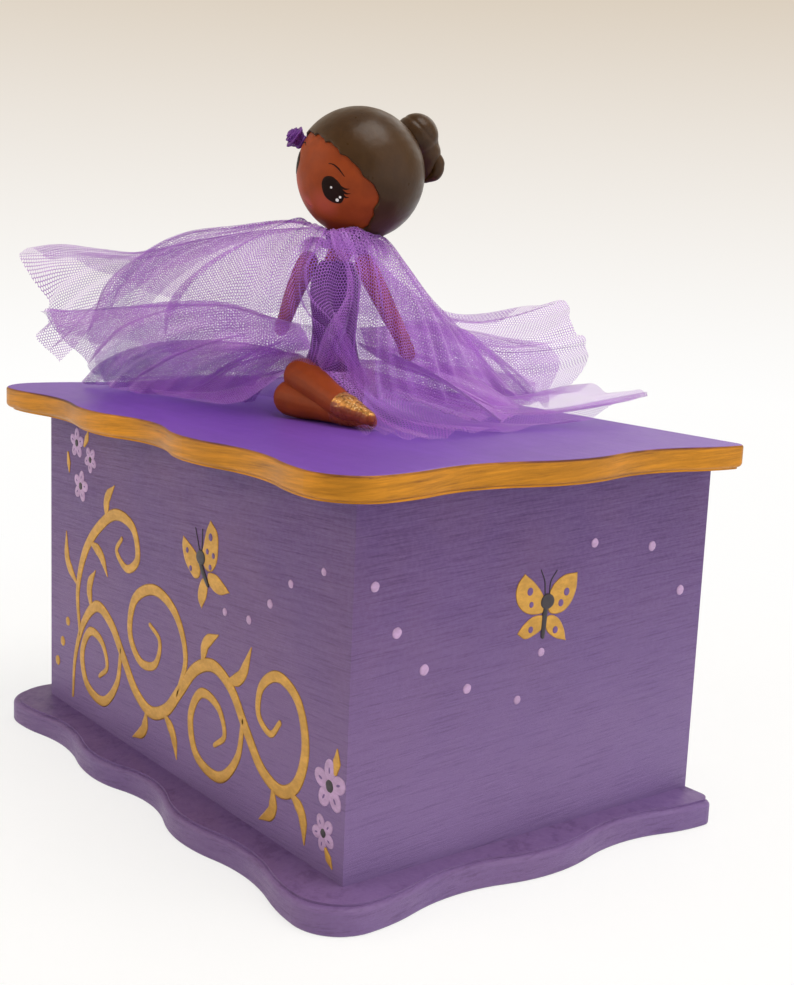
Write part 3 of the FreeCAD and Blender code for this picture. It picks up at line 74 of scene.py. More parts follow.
class Tree:
    """Adds nodes to a tree and links or sets their inputs."""

    def __init__(self, tree):
        self.tree = tree

    def add(self, kind, inputs=None, **settings):
        """A new node with its settings and inputs; a socket is linked and a value is set."""
        node = self.tree.nodes.new(kind)
        for name, value in settings.items():
            setattr(node, name, value)
        for key, value in (inputs or {}).items():
            self.feed(node.inputs[key], value)
        return node

    def feed(self, socket, value):
        """Link a socket to an output, or set its value."""
        if isinstance(value, bpy.types.NodeSocket):
            self.tree.links.new(value, socket)
        else:
            socket.default_value = value

    def math(self, operation, a, b=0.0, clamp=False):
        """The output of a Math node."""
        return self.add("ShaderNodeMath", {0: a, 1: b}, operation=operation, use_clamp=clamp).outputs[0]

    def times(self, a, b):
        """A product."""
        return self.math("MULTIPLY", a, b)

    def plus(self, a, b):
        """A sum."""
        return self.math("ADD", a, b)

    def minus(self, a, b, clamp=False):
        """A difference."""
        return self.math("SUBTRACT", a, b, clamp)

    def vector(self, operation, a, b=(0.0, 0.0, 0.0), output=0):
        """An output of a Vector Math node."""
        return self.add("ShaderNodeVectorMath", {0: a, 1: b}, operation=operation).outputs[output]

    def place(self, kind="Object"):
        """The piece's own coordinates, or its own normal."""
        return self.add("ShaderNodeTexCoord").outputs[kind]

    def axis(self, vector, k):
        """One coordinate of a vector."""
        return self.add("ShaderNodeSeparateXYZ", {0: vector}).outputs[k]

    def join(self, x=0.0, y=0.0, z=0.0):
        """A vector from three coordinates."""
        return self.add("ShaderNodeCombineXYZ", {0: x, 1: y, 2: z}).outputs[0]

    def mix(self, factor, a, b):
        """The output of a colour mix."""
        return self.add("ShaderNodeMix", {0: factor, 6: a, 7: b}, data_type="RGBA").outputs[2]

    def spread(self, value, low, high, to_low=0.0, to_high=1.0):
        """A value moved from one range to another, clamped and eased."""
        ends = {0: value, 1: low, 2: high, 3: to_low, 4: to_high}
        return self.add("ShaderNodeMapRange", ends, interpolation_type="SMOOTHSTEP").outputs[0]

    def noise(self, vector, scale, detail=3.0, roughness=0.55):
        """The value of a noise texture."""
        inputs = {"Vector": vector, "Scale": scale, "Detail": detail, "Roughness": roughness}
        return self.add("ShaderNodeTexNoise", inputs).outputs[0]

    def effect(self, key, vector, size, **more):
        """The outputs of one of the shared effects."""
        inputs = {"Vector": vector, "Size": size, **more}
        return self.add("ShaderNodeGroup", inputs, node_tree=GROUPS[key]).outputs


def shader_group(name, inputs, outputs):
    """A new shader group with named sockets, as (group, tree, what it is given, what it puts out)."""
    group = bpy.data.node_groups.new(name, "ShaderNodeTree")
    for socket, value in inputs.items():
        kind = "NodeSocketVector" if isinstance(value, tuple) else "NodeSocketFloat"
        group.interface.new_socket(name=socket, in_out="INPUT", socket_type=kind).default_value = value
    for socket in outputs:
        group.interface.new_socket(name=socket, in_out="OUTPUT", socket_type="NodeSocketFloat")
    tree = Tree(group)
    return group, tree, tree.add("NodeGroupInput").outputs, tree.add("NodeGroupOutput").inputs


def brush_group():
    """Streaks left by a flat brush: a mask and a height."""
    group, tree, given, out = shader_group(
        "brush_strokes", {"Vector": (0, 0, 0), "Size": (1, 1, 1)}, ("Mask", "Height"))
    place = given["Vector"]
    slant = tree.vector("DOT_PRODUCT", place, (-0.06, -0.06, 1.0), "Value")
    slanted = tree.join(tree.axis(place, 0), tree.axis(place, 1), slant)
    way = tree.vector("MULTIPLY", slanted, given["Size"])
    sway = tree.noise(place, 14.0, 2.0)
    aside = tree.times(sway, 0.6)
    bent = tree.vector("ADD", way, tree.join(aside, aside, tree.times(sway, 0.9)))
    broad = tree.noise(bent, 1.0, 4.0, 0.6)
    fine = tree.noise(bent, 3.1, 5.0, 0.7)
    both = tree.plus(tree.times(broad, 0.55), tree.times(fine, 0.45))
    tree.feed(out["Mask"], tree.spread(both, 0.36, 0.66))
    tree.feed(out["Height"], both)
    return group


def mottle_group():
    """Broad uneven patches, as thin paint shows."""
    group, tree, given, out = shader_group("paint_mottle", {"Vector": (0, 0, 0), "Size": 20.0}, ("Mask",))
    patch = tree.noise(given["Vector"], given["Size"], 4.0, 0.6)
    tree.feed(out["Mask"], tree.spread(patch, 0.3, 0.72))
    return group


def grain_group():
    """Fine dimples of hand-worked clay or metal, as a height and a mask."""
    group, tree, given, out = shader_group(
        "hand_grain", {"Vector": (0, 0, 0), "Size": 300.0}, ("Mask", "Height"))
    broad = tree.noise(given["Vector"], given["Size"], 2.0, 0.5)
    fine = tree.noise(given["Vector"], tree.times(given["Size"], 5.0), 2.0, 0.5)
    tree.feed(out["Height"], tree.plus(broad, tree.times(fine, 0.18)))
    tree.feed(out["Mask"], tree.spread(broad, 0.35, 0.68))
    return group


def net_group():
    """The threads of a six-sided net on flat coordinates in metres."""
    group, tree, given, out = shader_group(
        "net_cells", {"Vector": (0, 0, 0), "Size": 0.0015, "Thread": 0.18}, ("Thread",))
    period = (1.0, math.sqrt(3.0), 1.0)
    half = tuple(x / 2 for x in period)
    cells = tree.math("DIVIDE", 1.0, given["Size"])
    scaled = tree.add("ShaderNodeVectorMath", {0: given["Vector"], 3: cells}, operation="SCALE").outputs[0]
    edges = []
    for shift in ((0.0, 0.0, 0.0), half):
        moved = tree.vector("SUBTRACT", scaled, shift)
        limits = {0: moved, 1: period, 2: (0.0, 0.0, 0.0)}
        wrapped = tree.add("ShaderNodeVectorMath", limits, operation="WRAP").outputs[0]
        local = tree.vector("ABSOLUTE", tree.vector("SUBTRACT", wrapped, half))
        slant = tree.vector("DOT_PRODUCT", local, (0.5, half[1], 0.0), "Value")
        edges.append(tree.math("MAXIMUM", tree.axis(local, 0), slant))
    inside = tree.minus(0.5, tree.math("MINIMUM", *edges))
    width = tree.times(given["Thread"], 0.5)
    core, soft = tree.times(width, 0.75), tree.times(width, 1.35)
    mask = tree.add("ShaderNodeMapRange", {0: inside, 1: core, 2: soft, 3: 1.0, 4: 0.0})
    tree.feed(out["Thread"], mask.outputs[0])
    return group


GROUPS = {"brush": brush_group(), "mottle": mottle_group(), "grain": grain_group(), "net": net_group()}


def material(name, **sockets):
    """A new Principled material with plain socket values, as (material, tree, shader inputs)."""
    made = bpy.data.materials.new(name)
    made.use_nodes = True
    shader = made.node_tree.nodes["Principled BSDF"].inputs
    for socket, value in sockets.items():
        shader[socket.replace("_", " ")].default_value = value
    return made, Tree(made.node_tree), shader


def coat(tree, shader, height=None, depth=0.0, **sockets):
    """Feed a shader's sockets, and its Normal from a height."""
    for socket, value in sockets.items():
        tree.feed(shader[socket.replace("_", " ")], value)
    if height is not None:
        relief = tree.add("ShaderNodeBump", {"Height": height, "Distance": depth, "Strength": 1.0})
        tree.feed(shader["Normal"], relief.outputs[0])


def rgb(colour):
    """A colour with full alpha."""
    return (*colour, 1.0)


def shade(colour, factor):
    """A colour made lighter or darker."""
    return rgb([min(1.0, c * factor) for c in colour])


def worked(name, colour, effect, size, patch_size, shades, depth, gloss=None, **sockets):
    """A dented or brushed material in three shades, as (material, tree, shader inputs, colour, place)."""
    made, tree, shader = material(name, **sockets)
    place = tree.place()
    marks = tree.effect(effect, place, size)
    patch = tree.effect("mottle", place, patch_size)["Mask"]
    low, high, share, third = shades
    tone = tree.mix(marks["Mask"], shade(colour, low), shade(colour, high))
    tone = tree.mix(tree.times(patch, share), tone, shade(colour, third))
    coat(tree, shader, marks["Height"], depth, Base_Color=tone)
    if gloss:
        coat(tree, shader, Roughness=tree.spread(marks["Height"], 0.3, *gloss))
    return made, tree, shader, tone, place


# Mesh helpers


def mm(values):
    """Millimetres as metres."""
    return np.array(values) * MM


def unit(vector):
    """A vector of length one."""
    return vector / np.linalg.norm(vector)


def angles(count):
    """Evenly spaced angles of a full turn."""
    return [2 * math.pi * k / count for k in range(count)]


def link(name, mesh):
    """A new object in the scene."""
    made = bpy.data.objects.new(name, mesh)
    bpy.context.scene.collection.objects.link(made)
    return made


def add_object(name, mesh, finish, body, stands_for=None):
    """Link a mesh as a piece that rides on a body, in place of a CAD node where one is named."""
    piece = link(name, mesh)
    if finish is not None:
        mesh.materials.clear()
        mesh.materials.append(finish)
    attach(piece, body)
    if stands_for:
        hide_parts(stands_for)
    return piece


def mesh_from(name, points, faces):
    """A smooth mesh from points and faces, with merged doubles and outward normals."""
    mesh = bpy.data.meshes.new(name)
    mesh.from_pydata([tuple(p) for p in points], [], [tuple(f) for f in faces])
    work = bmesh.new()
    work.from_mesh(mesh)
    bmesh.ops.remove_doubles(work, verts=work.verts, dist=1e-7)
    bmesh.ops.recalc_face_normals(work, faces=work.faces)
    for face in work.faces:
        face.smooth = True
    work.to_mesh(mesh)
    work.free()
    return mesh


def join_meshes(name, meshes):
    """Several meshes as one."""
    work = bmesh.new()
    for mesh in meshes:
        work.from_mesh(mesh)
    made = bpy.data.meshes.new(name)
    work.to_mesh(made)
    work.free()
    for mesh in meshes:
        bpy.data.meshes.remove(mesh)
    return made


def evaluated_mesh(name, work, source):
    """The plain mesh of a working object with its modifiers; the object and its source are removed."""
    bpy.context.view_layer.update()
    made = bpy.data.meshes.new_from_object(work.evaluated_get(bpy.context.evaluated_depsgraph_get()))
    made.name = name
    work.modifiers.clear()
    bpy.data.objects.remove(work)
    bpy.data.meshes.remove(source)
    return made


def grid_faces(rows, columns, wrap=False):
    """Quads of a grid whose points run row by row; wrap joins the last column to the first."""
    faces = []
    for i in range(rows - 1):
        for j in range(columns if wrap else columns - 1):
            k = (j + 1) % columns
            faces.append((i * columns + j, i * columns + k, (i + 1) * columns + k, (i + 1) * columns + j))
    return faces


def between(p, q, t, start, end):
    """A point on the straight line that is at p at the start and at q at the end."""
    return p * (end - t) / (end - start) + q * (t - start) / (end - start)


def smooth_line(keys, count, closed=False):
    """Evenly spaced stations on a smooth curve through keys, for points of any length."""
    keys = np.array(keys, float)
    if closed:
        keys = np.vstack([keys, keys[:1]])
    n = len(keys)
    chord = np.linalg.norm(np.diff(keys[:, :3], axis=0), axis=1)
    knots = np.concatenate([[0], np.cumsum(np.maximum(chord, 1e-9) ** 0.5)])
    before = keys[-2] if closed else 2 * keys[0] - keys[1]
    after = keys[1] if closed else 2 * keys[-1] - keys[-2]
    padded = np.vstack([before, keys, after])
    gap_before = knots[-1] - knots[-2] if closed else knots[1]
    gap_after = knots[1] if closed else knots[-1] - knots[-2]
    times = np.concatenate([[-gap_before], knots, [knots[-1] + gap_after]])
    found = []
    for t in np.linspace(0, knots[-1], count, endpoint=not closed):
        i = min(max(int(np.searchsorted(knots, t, side="right")) - 1, 0), n - 2) + 1
        near, at = padded[i - 1:i + 3], times[i - 1:i + 3]
        first = [between(near[k], near[k + 1], t, at[k], at[k + 1]) for k in range(3)]
        second = [between(first[k], first[k + 1], t, at[k], at[k + 2]) for k in range(2)]
        found.append(between(*second, t, at[1], at[2]))
    return np.array(found)


def taper(count, shares, values):
    """Values at even stations between those given at shares of the way."""
    return np.interp(np.linspace(0, 1, count), shares, values)


def round_ends(line, way, radii, steps):
    """Stations of a line with round ends, as (centre, share of the radius, number on the line)."""
    found = []
    for k in range(steps):
        a = math.pi / 2 * (1 - k / steps)
        found.append((line[0] - way[0] * radii[0] * math.sin(a), math.cos(a), 0))
    found += [(spot, 1.0, i) for i, spot in enumerate(line)]
    for k in range(1, steps + 1):
        a = math.pi / 2 * k / steps
        found.append((line[-1] + way[-1] * radii[-1] * math.sin(a), math.cos(a), len(line) - 1))
    return found


def smooth_noise(points, scale, seed):
    """Gentle waves over points, from a few fixed directions."""
    draw = np.random.default_rng(seed)
    total = np.zeros(len(points))
    for _ in range(5):
        way = draw.normal(size=3)
        way *= scale * draw.uniform(0.6, 1.5) / np.linalg.norm(way)
        total += np.sin(points @ way + draw.uniform(0, 2 * math.pi))
    return total / 5


# Settings


def colour_setting(name, description, default):
    """A colour that can be changed."""
    return FloatVectorProperty(name=name, description=description, subtype="COLOR", default=default,
                               min=0, max=1)


def length_setting(name, description, default, low, high):
    """A length that can be changed."""
    return FloatProperty(name=name, description=description, subtype="DISTANCE", unit="LENGTH",
                         default=default, min=low, max=high)


class BoxFinish(bpy.types.PropertyGroup):
    """Paint of the wooden box."""

    wall_purple: colour_setting("Wall purple", "Paint of the walls and the base", (0.100, 0.040, 0.172))
    wall_warm: colour_setting("Thin paint", "Where the wood warms thin paint", (0.158, 0.074, 0.168))
    # Lilac of the brush strokes and specks, also used for the painted bounce light low down
    wall_pale_and_bounce: colour_setting("Pale paint", "Lilac of the strokes and low down", (0.234, 0.150, 0.345))
    lid_violet: colour_setting("Lid violet", "Paint on top of the lid", (0.156, 0.053, 0.375))
    edge_gold: colour_setting("Edge gold", "Paint on the lid's moulded edge", (0.560, 0.225, 0.012))
    stroke_depth: length_setting("Stroke depth", "Height of the brush strokes", 0.0004, 0, 0.003)


class DollFinish(bpy.types.PropertyGroup):
    """Clay colours of the doll."""

    skin: colour_setting("Skin", "Clay of the face and limbs", (0.290, 0.051, 0.011))
    hair: colour_setting("Hair", "Clay of the hair", (0.044, 0.019, 0.005))
    bodice: colour_setting("Bodice", "Clay of the bodice, choker and flower", (0.050, 0.013, 0.084))
    slipper: colour_setting("Slipper gold", "Paint of the slippers", (0.560, 0.250, 0.060))


class NetFinish(bpy.types.PropertyGroup):
    """The net of the skirt."""

    colour: colour_setting("Net colour", "Dye of the threads", (0.375, 0.126, 0.545))
    cell: length_setting("Cell", "Width of one cell of the net", 0.0011, 0.0005, 0.005)
    thread: FloatProperty(name="Thread", description="Thread width as a share of a cell", default=0.19,
                          min=0.02, max=0.6)
    ripple: length_setting("Ripple", "Height of the small pleats at the hem", 0.0022, 0, 0.01)


class OrnamentFinish(bpy.types.PropertyGroup):
    """Painted ornament on the walls."""

    gold: colour_setting("Gold", "Gold of the vine and wings", (0.620, 0.325, 0.050))
    lilac: colour_setting("Lilac", "Lilac of the dots and petals", (0.520, 0.330, 0.560))
    dark: colour_setting("Dark", "Dark centres and bodies", (0.028, 0.020, 0.026))
    thickness: length_setting("Paint thickness", "How far the paint stands proud", 0.00022, 0, 0.001)
    dot_radius: length_setting("Dot radius", "Radius of the lilac dots", 0.0013, 0.0005, 0.01)
    petals: IntProperty(name="Petals", description="Petals of each painted flower", default=5, min=3, max=9)


class JewelleryBoxSettings(bpy.types.PropertyGroup):
    """All settings of the jewellery box."""

    box: PointerProperty(type=BoxFinish)
    doll: PointerProperty(type=DollFinish)
    net: PointerProperty(type=NetFinish)
    ornament: PointerProperty(type=OrnamentFinish)


def settings():
    """The scene's settings."""
    return bpy.context.scene.jewellery_box


def finish_nodes(names, finish):
    """Give CAD nodes a material."""
    for name in names:
        mesh = NODES[name].data
        mesh.materials.clear()
        mesh.materials.append(finish)


# Box

FELT_PURPLE = (0.085, 0.030, 0.150)
FELT_CORNER = 3.0 * MM
FELT_SOFT_EDGE = 0.5 * MM
WORN_EDGE = (0.16, 0.045, 0.012)
EDGE_DARK_UPWARD = (0.085, 0.022, 0.018)
# Height below which the walls and base get paler downwards, as painted bounce light from the floor
BOUNCE_LIGHT_HEIGHT = 0.122


def painted_wood(name, paint, stretch, roughness, fade=0.8):
    """Brushed paint over wood, with fine streaks along one way and painted bounce light that makes it paler
    low down.
    """
    made, tree, shader = material(name, Specular_IOR_Level=0.35)
    place = tree.place()
    brush = tree.effect("brush", place, stretch)
    patch = tree.effect("mottle", place, 14.0)["Mask"]
    speck = tree.effect("grain", place, 700.0)["Mask"]
    # Painted light: paler towards the bottom, in place of light bounced up from the floor; fade sets how much
    painted_bounce_light = tree.spread(tree.axis(place, 2), BOUNCE_LIGHT_HEIGHT, 0.0, 0.0, fade)
    tone = tree.mix(tree.times(patch, 0.7), rgb(paint.wall_purple), rgb(paint.wall_warm))
    for share in (painted_bounce_light, tree.times(speck, 0.16), tree.times(brush["Mask"], 0.3)):
        tone = tree.mix(share, tone, rgb(paint.wall_pale_and_bounce))
    dark = tree.spread(brush["Height"], 0.47, 0.38)
    tone = tree.mix(tree.times(dark, 0.24), tone, shade(paint.wall_purple, 0.5))
    gloss = tree.spread(brush["Height"], 0.3, 0.7, roughness + 0.1, roughness - 0.08)
    coat(tree, shader, brush["Height"], paint.stroke_depth, Base_Color=tone, Roughness=gloss)
    return made


def lid_paint(paint):
    """Violet on top of the lid and streaky gold round its moulded edge."""
    made, tree, shader = material("lid_violet_and_gold", Coat_Roughness=0.25)
    place = tree.place()
    brush = tree.effect("brush", place, (26.0, 210.0, 120.0))
    streaks = tree.effect("brush", place, (30.0, 30.0, 520.0))
    patch = tree.effect("mottle", place, 22.0)["Mask"]
    top = tree.mix(tree.times(brush["Mask"], 0.35), rgb(paint.lid_violet), shade(paint.lid_violet, 1.35))
    top = tree.mix(tree.times(patch, 0.4), top, shade(paint.lid_violet, 0.78))
    gold = tree.mix(streaks["Mask"], shade(paint.edge_gold, 0.72), shade(paint.edge_gold, 1.25))
    worn = tree.spread(streaks["Height"], 0.42, 0.33)
    gold = tree.mix(tree.times(worn, 0.65), gold, rgb(WORN_EDGE))
    gold = tree.mix(tree.times(patch, 0.35), gold, shade(paint.edge_gold, 0.6))
    height, facing = tree.axis(place, 2), tree.axis(tree.place("Normal"), 2)
    ragged = tree.times(tree.minus(tree.noise(place, 260.0, 3.0), 0.5), 0.0012)
    rim = tree.spread(tree.plus(height, ragged), LID_TOP - 0.0007, LID_TOP - 0.0003)
    on_top = tree.times(rim, tree.spread(facing, 0.80, 0.93))
    lowest = tree.spread(height, LID_LOW + 0.0004, LID_LOW + 0.0002)
    under = tree.times(tree.spread(facing, -0.6, -0.8), lowest)
    violet = tree.math("MAXIMUM", on_top, under)
    # Darker reddish brown in patches where the gold edge turns upward
    darker_upward = tree.times(tree.spread(facing, 0.0, 0.6), tree.spread(patch, 0.1, 0.8, 0.35, 0.95))
    gold = tree.mix(darker_upward, gold, rgb(EDGE_DARK_UPWARD))
    coat(tree, shader, tree.plus(brush["Height"], streaks["Height"]), paint.stroke_depth * 0.3,
         Base_Color=tree.mix(violet, gold, top), Metallic=tree.times(tree.minus(1.0, violet), 0.65),
         Roughness=tree.plus(0.34, tree.times(streaks["Height"], 0.2)))
    return made


def felt_finish(colour):
    """Short matted fibres."""
    return worked("felt_fibres", colour, "grain", 900.0, 45.0, (0.75, 1.2, 0.3, 1.35), 0.0004,
                  Roughness=0.95, Sheen_Weight=0.5, Sheen_Roughness=0.6)[0]


class JEWEL_OT_box(bpy.types.Operator):
    """Paint the walls, boards, divider and cover, and lay the felt"""

    bl_idname = "jewel.box"
    bl_label = "Painted box"

    def execute(self, context):
        paint = settings().box
        walls = painted_wood("wall_paint", paint, (48.0, 48.0, 1500.0), 0.46)
        finish_nodes(("front_panel", "back_panel", "left_panel", "right_panel"), walls)
        # The base takes less of the painted bounce light
        finish_nodes(("base_board",), painted_wood("base_paint", paint, (90.0, 90.0, 900.0), 0.46, 0.45))
        inside = painted_wood("inside_paint", paint, (30.0, 500.0, 500.0), 0.5)
        finish_nodes(("divider_panel", "movement_cover", "cover_ledges"), inside)
        finish_nodes(("lid_board",), lid_paint(paint))
        felt = felt_finish(FELT_PURPLE)
        for node, body, rests in (("floor_felt", "box", "base_board"), ("lid_felt", "lid", "lid_board")):
            self.lay_felt(node, body, rests, felt)
        return {"FINISHED"}

    def lay_felt(self, node, body, rests, felt):
        """A felt with rounded corners and a soft edge in the place of its CAD node."""
        low, high = (np.array(c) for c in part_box(node))
        middle, half = (low + high) / 2, (high - low) / 2
        thick = half[2]
        soft = min(FELT_SOFT_EDGE, thick * 0.6)
        outline = []
        for cx, cy, start in ((1, 1, 0), (-1, 1, 90), (-1, -1, 180), (1, -1, 270)):
            for k in range(7):
                a = math.radians(start + 15 * k)
                outline.append((cx * (half[0] - FELT_CORNER) + FELT_CORNER * math.cos(a),
                                cy * (half[1] - FELT_CORNER) + FELT_CORNER * math.sin(a)))
        outline = np.array(outline)
        inward = outline / np.abs(outline).max(axis=0)
        drop = soft / thick
        edge = [(0.0, 1.0 - drop), (soft * 0.4, 1.0 - drop * 0.3), (soft, 1.0), (5 * soft, 1.0)]
        rings = [(inset, -level) for inset, level in reversed(edge)] + edge
        points, count = [], len(outline)
        for inset, level in rings:
            ring = outline - inward * inset
            points += [(*(p + middle[:2]), middle[2] + thick * level) for p in ring]
        faces = grid_faces(len(rings), count, wrap=True)
        last = (len(rings) - 1) * count
        faces.append(tuple(range(last, last + count)))
        faces.append(tuple(reversed(range(count))))
        name = node + "_sheet"
        sheet = add_object(name, mesh_from(name, points, faces), felt, body, node)


# Movement


def metal(name, colour, roughness, scale):
    """Drawn or cast metal with faint rubbing marks."""
    return worked(name, colour, "grain", scale, 70.0, (0.9, 1.06, 0.4, 0.72), 0.00006,
                  (0.8, roughness - 0.08, roughness + 0.12), Metallic=1.0)[0]


class JEWEL_OT_movement(bpy.types.Operator):
    """Give the movement, key and hinges their metals"""

    bl_idname = "jewel.movement"
    bl_label = "Movement, key and hinges"

    def execute(self, context):
        metals = {"brass": metal("movement_brass", (0.78, 0.52, 0.20), 0.3, 420.0),
                  "steel": metal("movement_steel", (0.52, 0.52, 0.53), 0.32, 500.0),
                  "cast_metal": metal("cast_frame_metal", (0.42, 0.41, 0.39), 0.48, 900.0)}
        blued = metal("blued_spring", (0.12, 0.14, 0.22), 0.3, 500.0)
        for name, node in NODES.items():
            slot = node.data.materials[0].name if node.data.materials and node.data.materials[0] else ""
            if slot in metals:
                finish_nodes((name,), metals[slot])
        finish_nodes(("mainspring",), blued)
        return {"FINISHED"}


# Doll

# Shoulder, elbow, wrist and finger tips, from the seat across the shoulders, forward and up, in millimetres
ARM_LINES = {
    "doll_right_arm": ((-10.5, 0, 52.0), (-14.2, 1.4, 42.5), (-17.0, 3.2, 32.5), (-18.1, 3.8, 28.6)),
    "doll_left_arm": ((10.5, 0, 52.0), (17.5, 0, 40.5), (25.9, 0, 26.5), (27.6, 0, 23.0)),
}
ARM_SHARES = (0, 0.12, 0.45, 0.8, 0.9, 1.0)
ARM_RADII = (3.5, 3.7, 3.2, 2.5, 2.9, 2.3)
# Leg, slipper, then hip, knee, ankle and toe from the seat, and the radii there, in millimetres
LEGS = (
    ("doll_left_leg", "left_slipper",
     ((3.2, 1.8, 7.2), (-3.5, -14.0, 6.4), (18.5, -10.2, 4.4), (34.0, -8.4, 3.0)), (6.3, 6.2, 4.2, 2.7)),
    ("doll_right_leg", "right_slipper",
     ((-3.5, -2.0, 14.6), (-1.6, -11.2, 13.6), (22.0, -11.2, 6.8), (35.3, -9.6, 4.3)), (6.1, 6.4, 4.5, 2.5)),
)
SLIPPER_GLITTER = (0.92, 0.66, 0.34)
NECK_AXIS = np.array((3.0, 3.5, 10.0))
CHOKER_FRILLS = 13


def clay_parts(name, colour, roughness, tint=0.8, shine=0.22):
    """Hand-worked clay with a slight sheen, as (material, tree, shader inputs, colour, place)."""
    return worked(name, colour, "grain", 260.0, 85.0, (0.92, 1.08, 0.5, tint), 0.00012,
                  (0.9, roughness - 0.05, roughness + 0.08), Specular_IOR_Level=shine)


def clay(*look, **more):
    """A material of hand-worked clay."""
    return clay_parts(*look, **more)[0]


def blush(tree, tone, place, spot, radius, colour, strength):
    """A soft powdered patch round a spot."""
    gap = tree.vector("DISTANCE", place, tuple(spot), "Value")
    return tree.mix(tree.times(tree.spread(gap, radius, radius * 0.15), strength), tone, rgb(colour))


def head_way(left, up, face):
    """A unit direction of the head."""
    return unit(HEAD_LEFT * left + HEAD_UP * up + HEAD_FACE * face)


def on_head(left, up, face, distance=1.0):
    """A point at a distance from the head's middle in head radii."""
    return HEAD_CENTRE + head_way(left, up, face) * HEAD_RADIUS * distance


def sphere_points(centre, radii, axes=np.eye(3), around=20, along=12):
    """Points and faces of an ellipsoid."""
    points = [centre + axes[2] * radii[2]]
    for i in range(1, along):
        a = math.pi * i / along
        for b in angles(around):
            points.append(centre + axes[0] * (radii[0] * math.sin(a) * math.cos(b))
                          + axes[1] * (radii[1] * math.sin(a) * math.sin(b))
                          + axes[2] * (radii[2] * math.cos(a)))
    points.append(centre - axes[2] * radii[2])
    faces = []
    last = 1 + (along - 2) * around
    for j in range(around):
        k = (j + 1) % around
        faces.append((0, 1 + j, 1 + k))
        for i in range(along - 2):
            a, b = 1 + i * around, 1 + (i + 1) * around
            faces.append((a + j, b + j, b + k, a + k))
        faces.append((last + j, len(points) - 1, last + k))
    return points, faces


def tube_points(line, radii, around=16):
    """Points and faces of a closed tube with round ends along a line."""
    line = np.array(line, float)
    way = np.gradient(line, axis=0)
    way /= np.linalg.norm(way, axis=1)[:, None]
    side = np.cross(way, (0.0, 0.0, 1.0))
    side /= np.maximum(np.linalg.norm(side, axis=1), 1e-9)[:, None]
    over = np.cross(side, way)
    stations = round_ends(line, way, radii, 5)
    points = []
    for centre, share, i in stations:
        radius = radii[i] * share
        for a in angles(around):
            points.append(centre + side[i] * (radius * math.cos(a)) + over[i] * (radius * math.sin(a)))
    return points, grid_faces(len(stations), around, wrap=True)


def clay_form(name, shapes, voxel, rounds):
    """Several closed shapes pressed into one smooth form."""
    points, faces = [], []
    for more, more_faces in shapes:
        shift = len(points)
        points += list(more)
        faces += [tuple(i + shift for i in face) for face in more_faces]
    mesh = mesh_from(name, points, faces)
    work = link(name + "_work", mesh)
    remesh = work.modifiers.new("join", "REMESH")
    remesh.mode, remesh.voxel_size, remesh.use_smooth_shade = "VOXEL", voxel, True
    smooth = work.modifiers.new("press", "SMOOTH")
    smooth.factor, smooth.iterations = 0.5, rounds
    made = evaluated_mesh(name, work, mesh)
    for face in made.polygons:
        face.use_smooth = True
    return made


def torso_point(right, forward, height):
    """A point across the shoulders, forward of the chest and up, from the seat, in millimetres."""
    c, s = math.cos(TORSO_TURN), math.sin(TORSO_TURN)
    return SEAT + np.array((right * c + forward * s, right * s - forward * c, height)) * MM


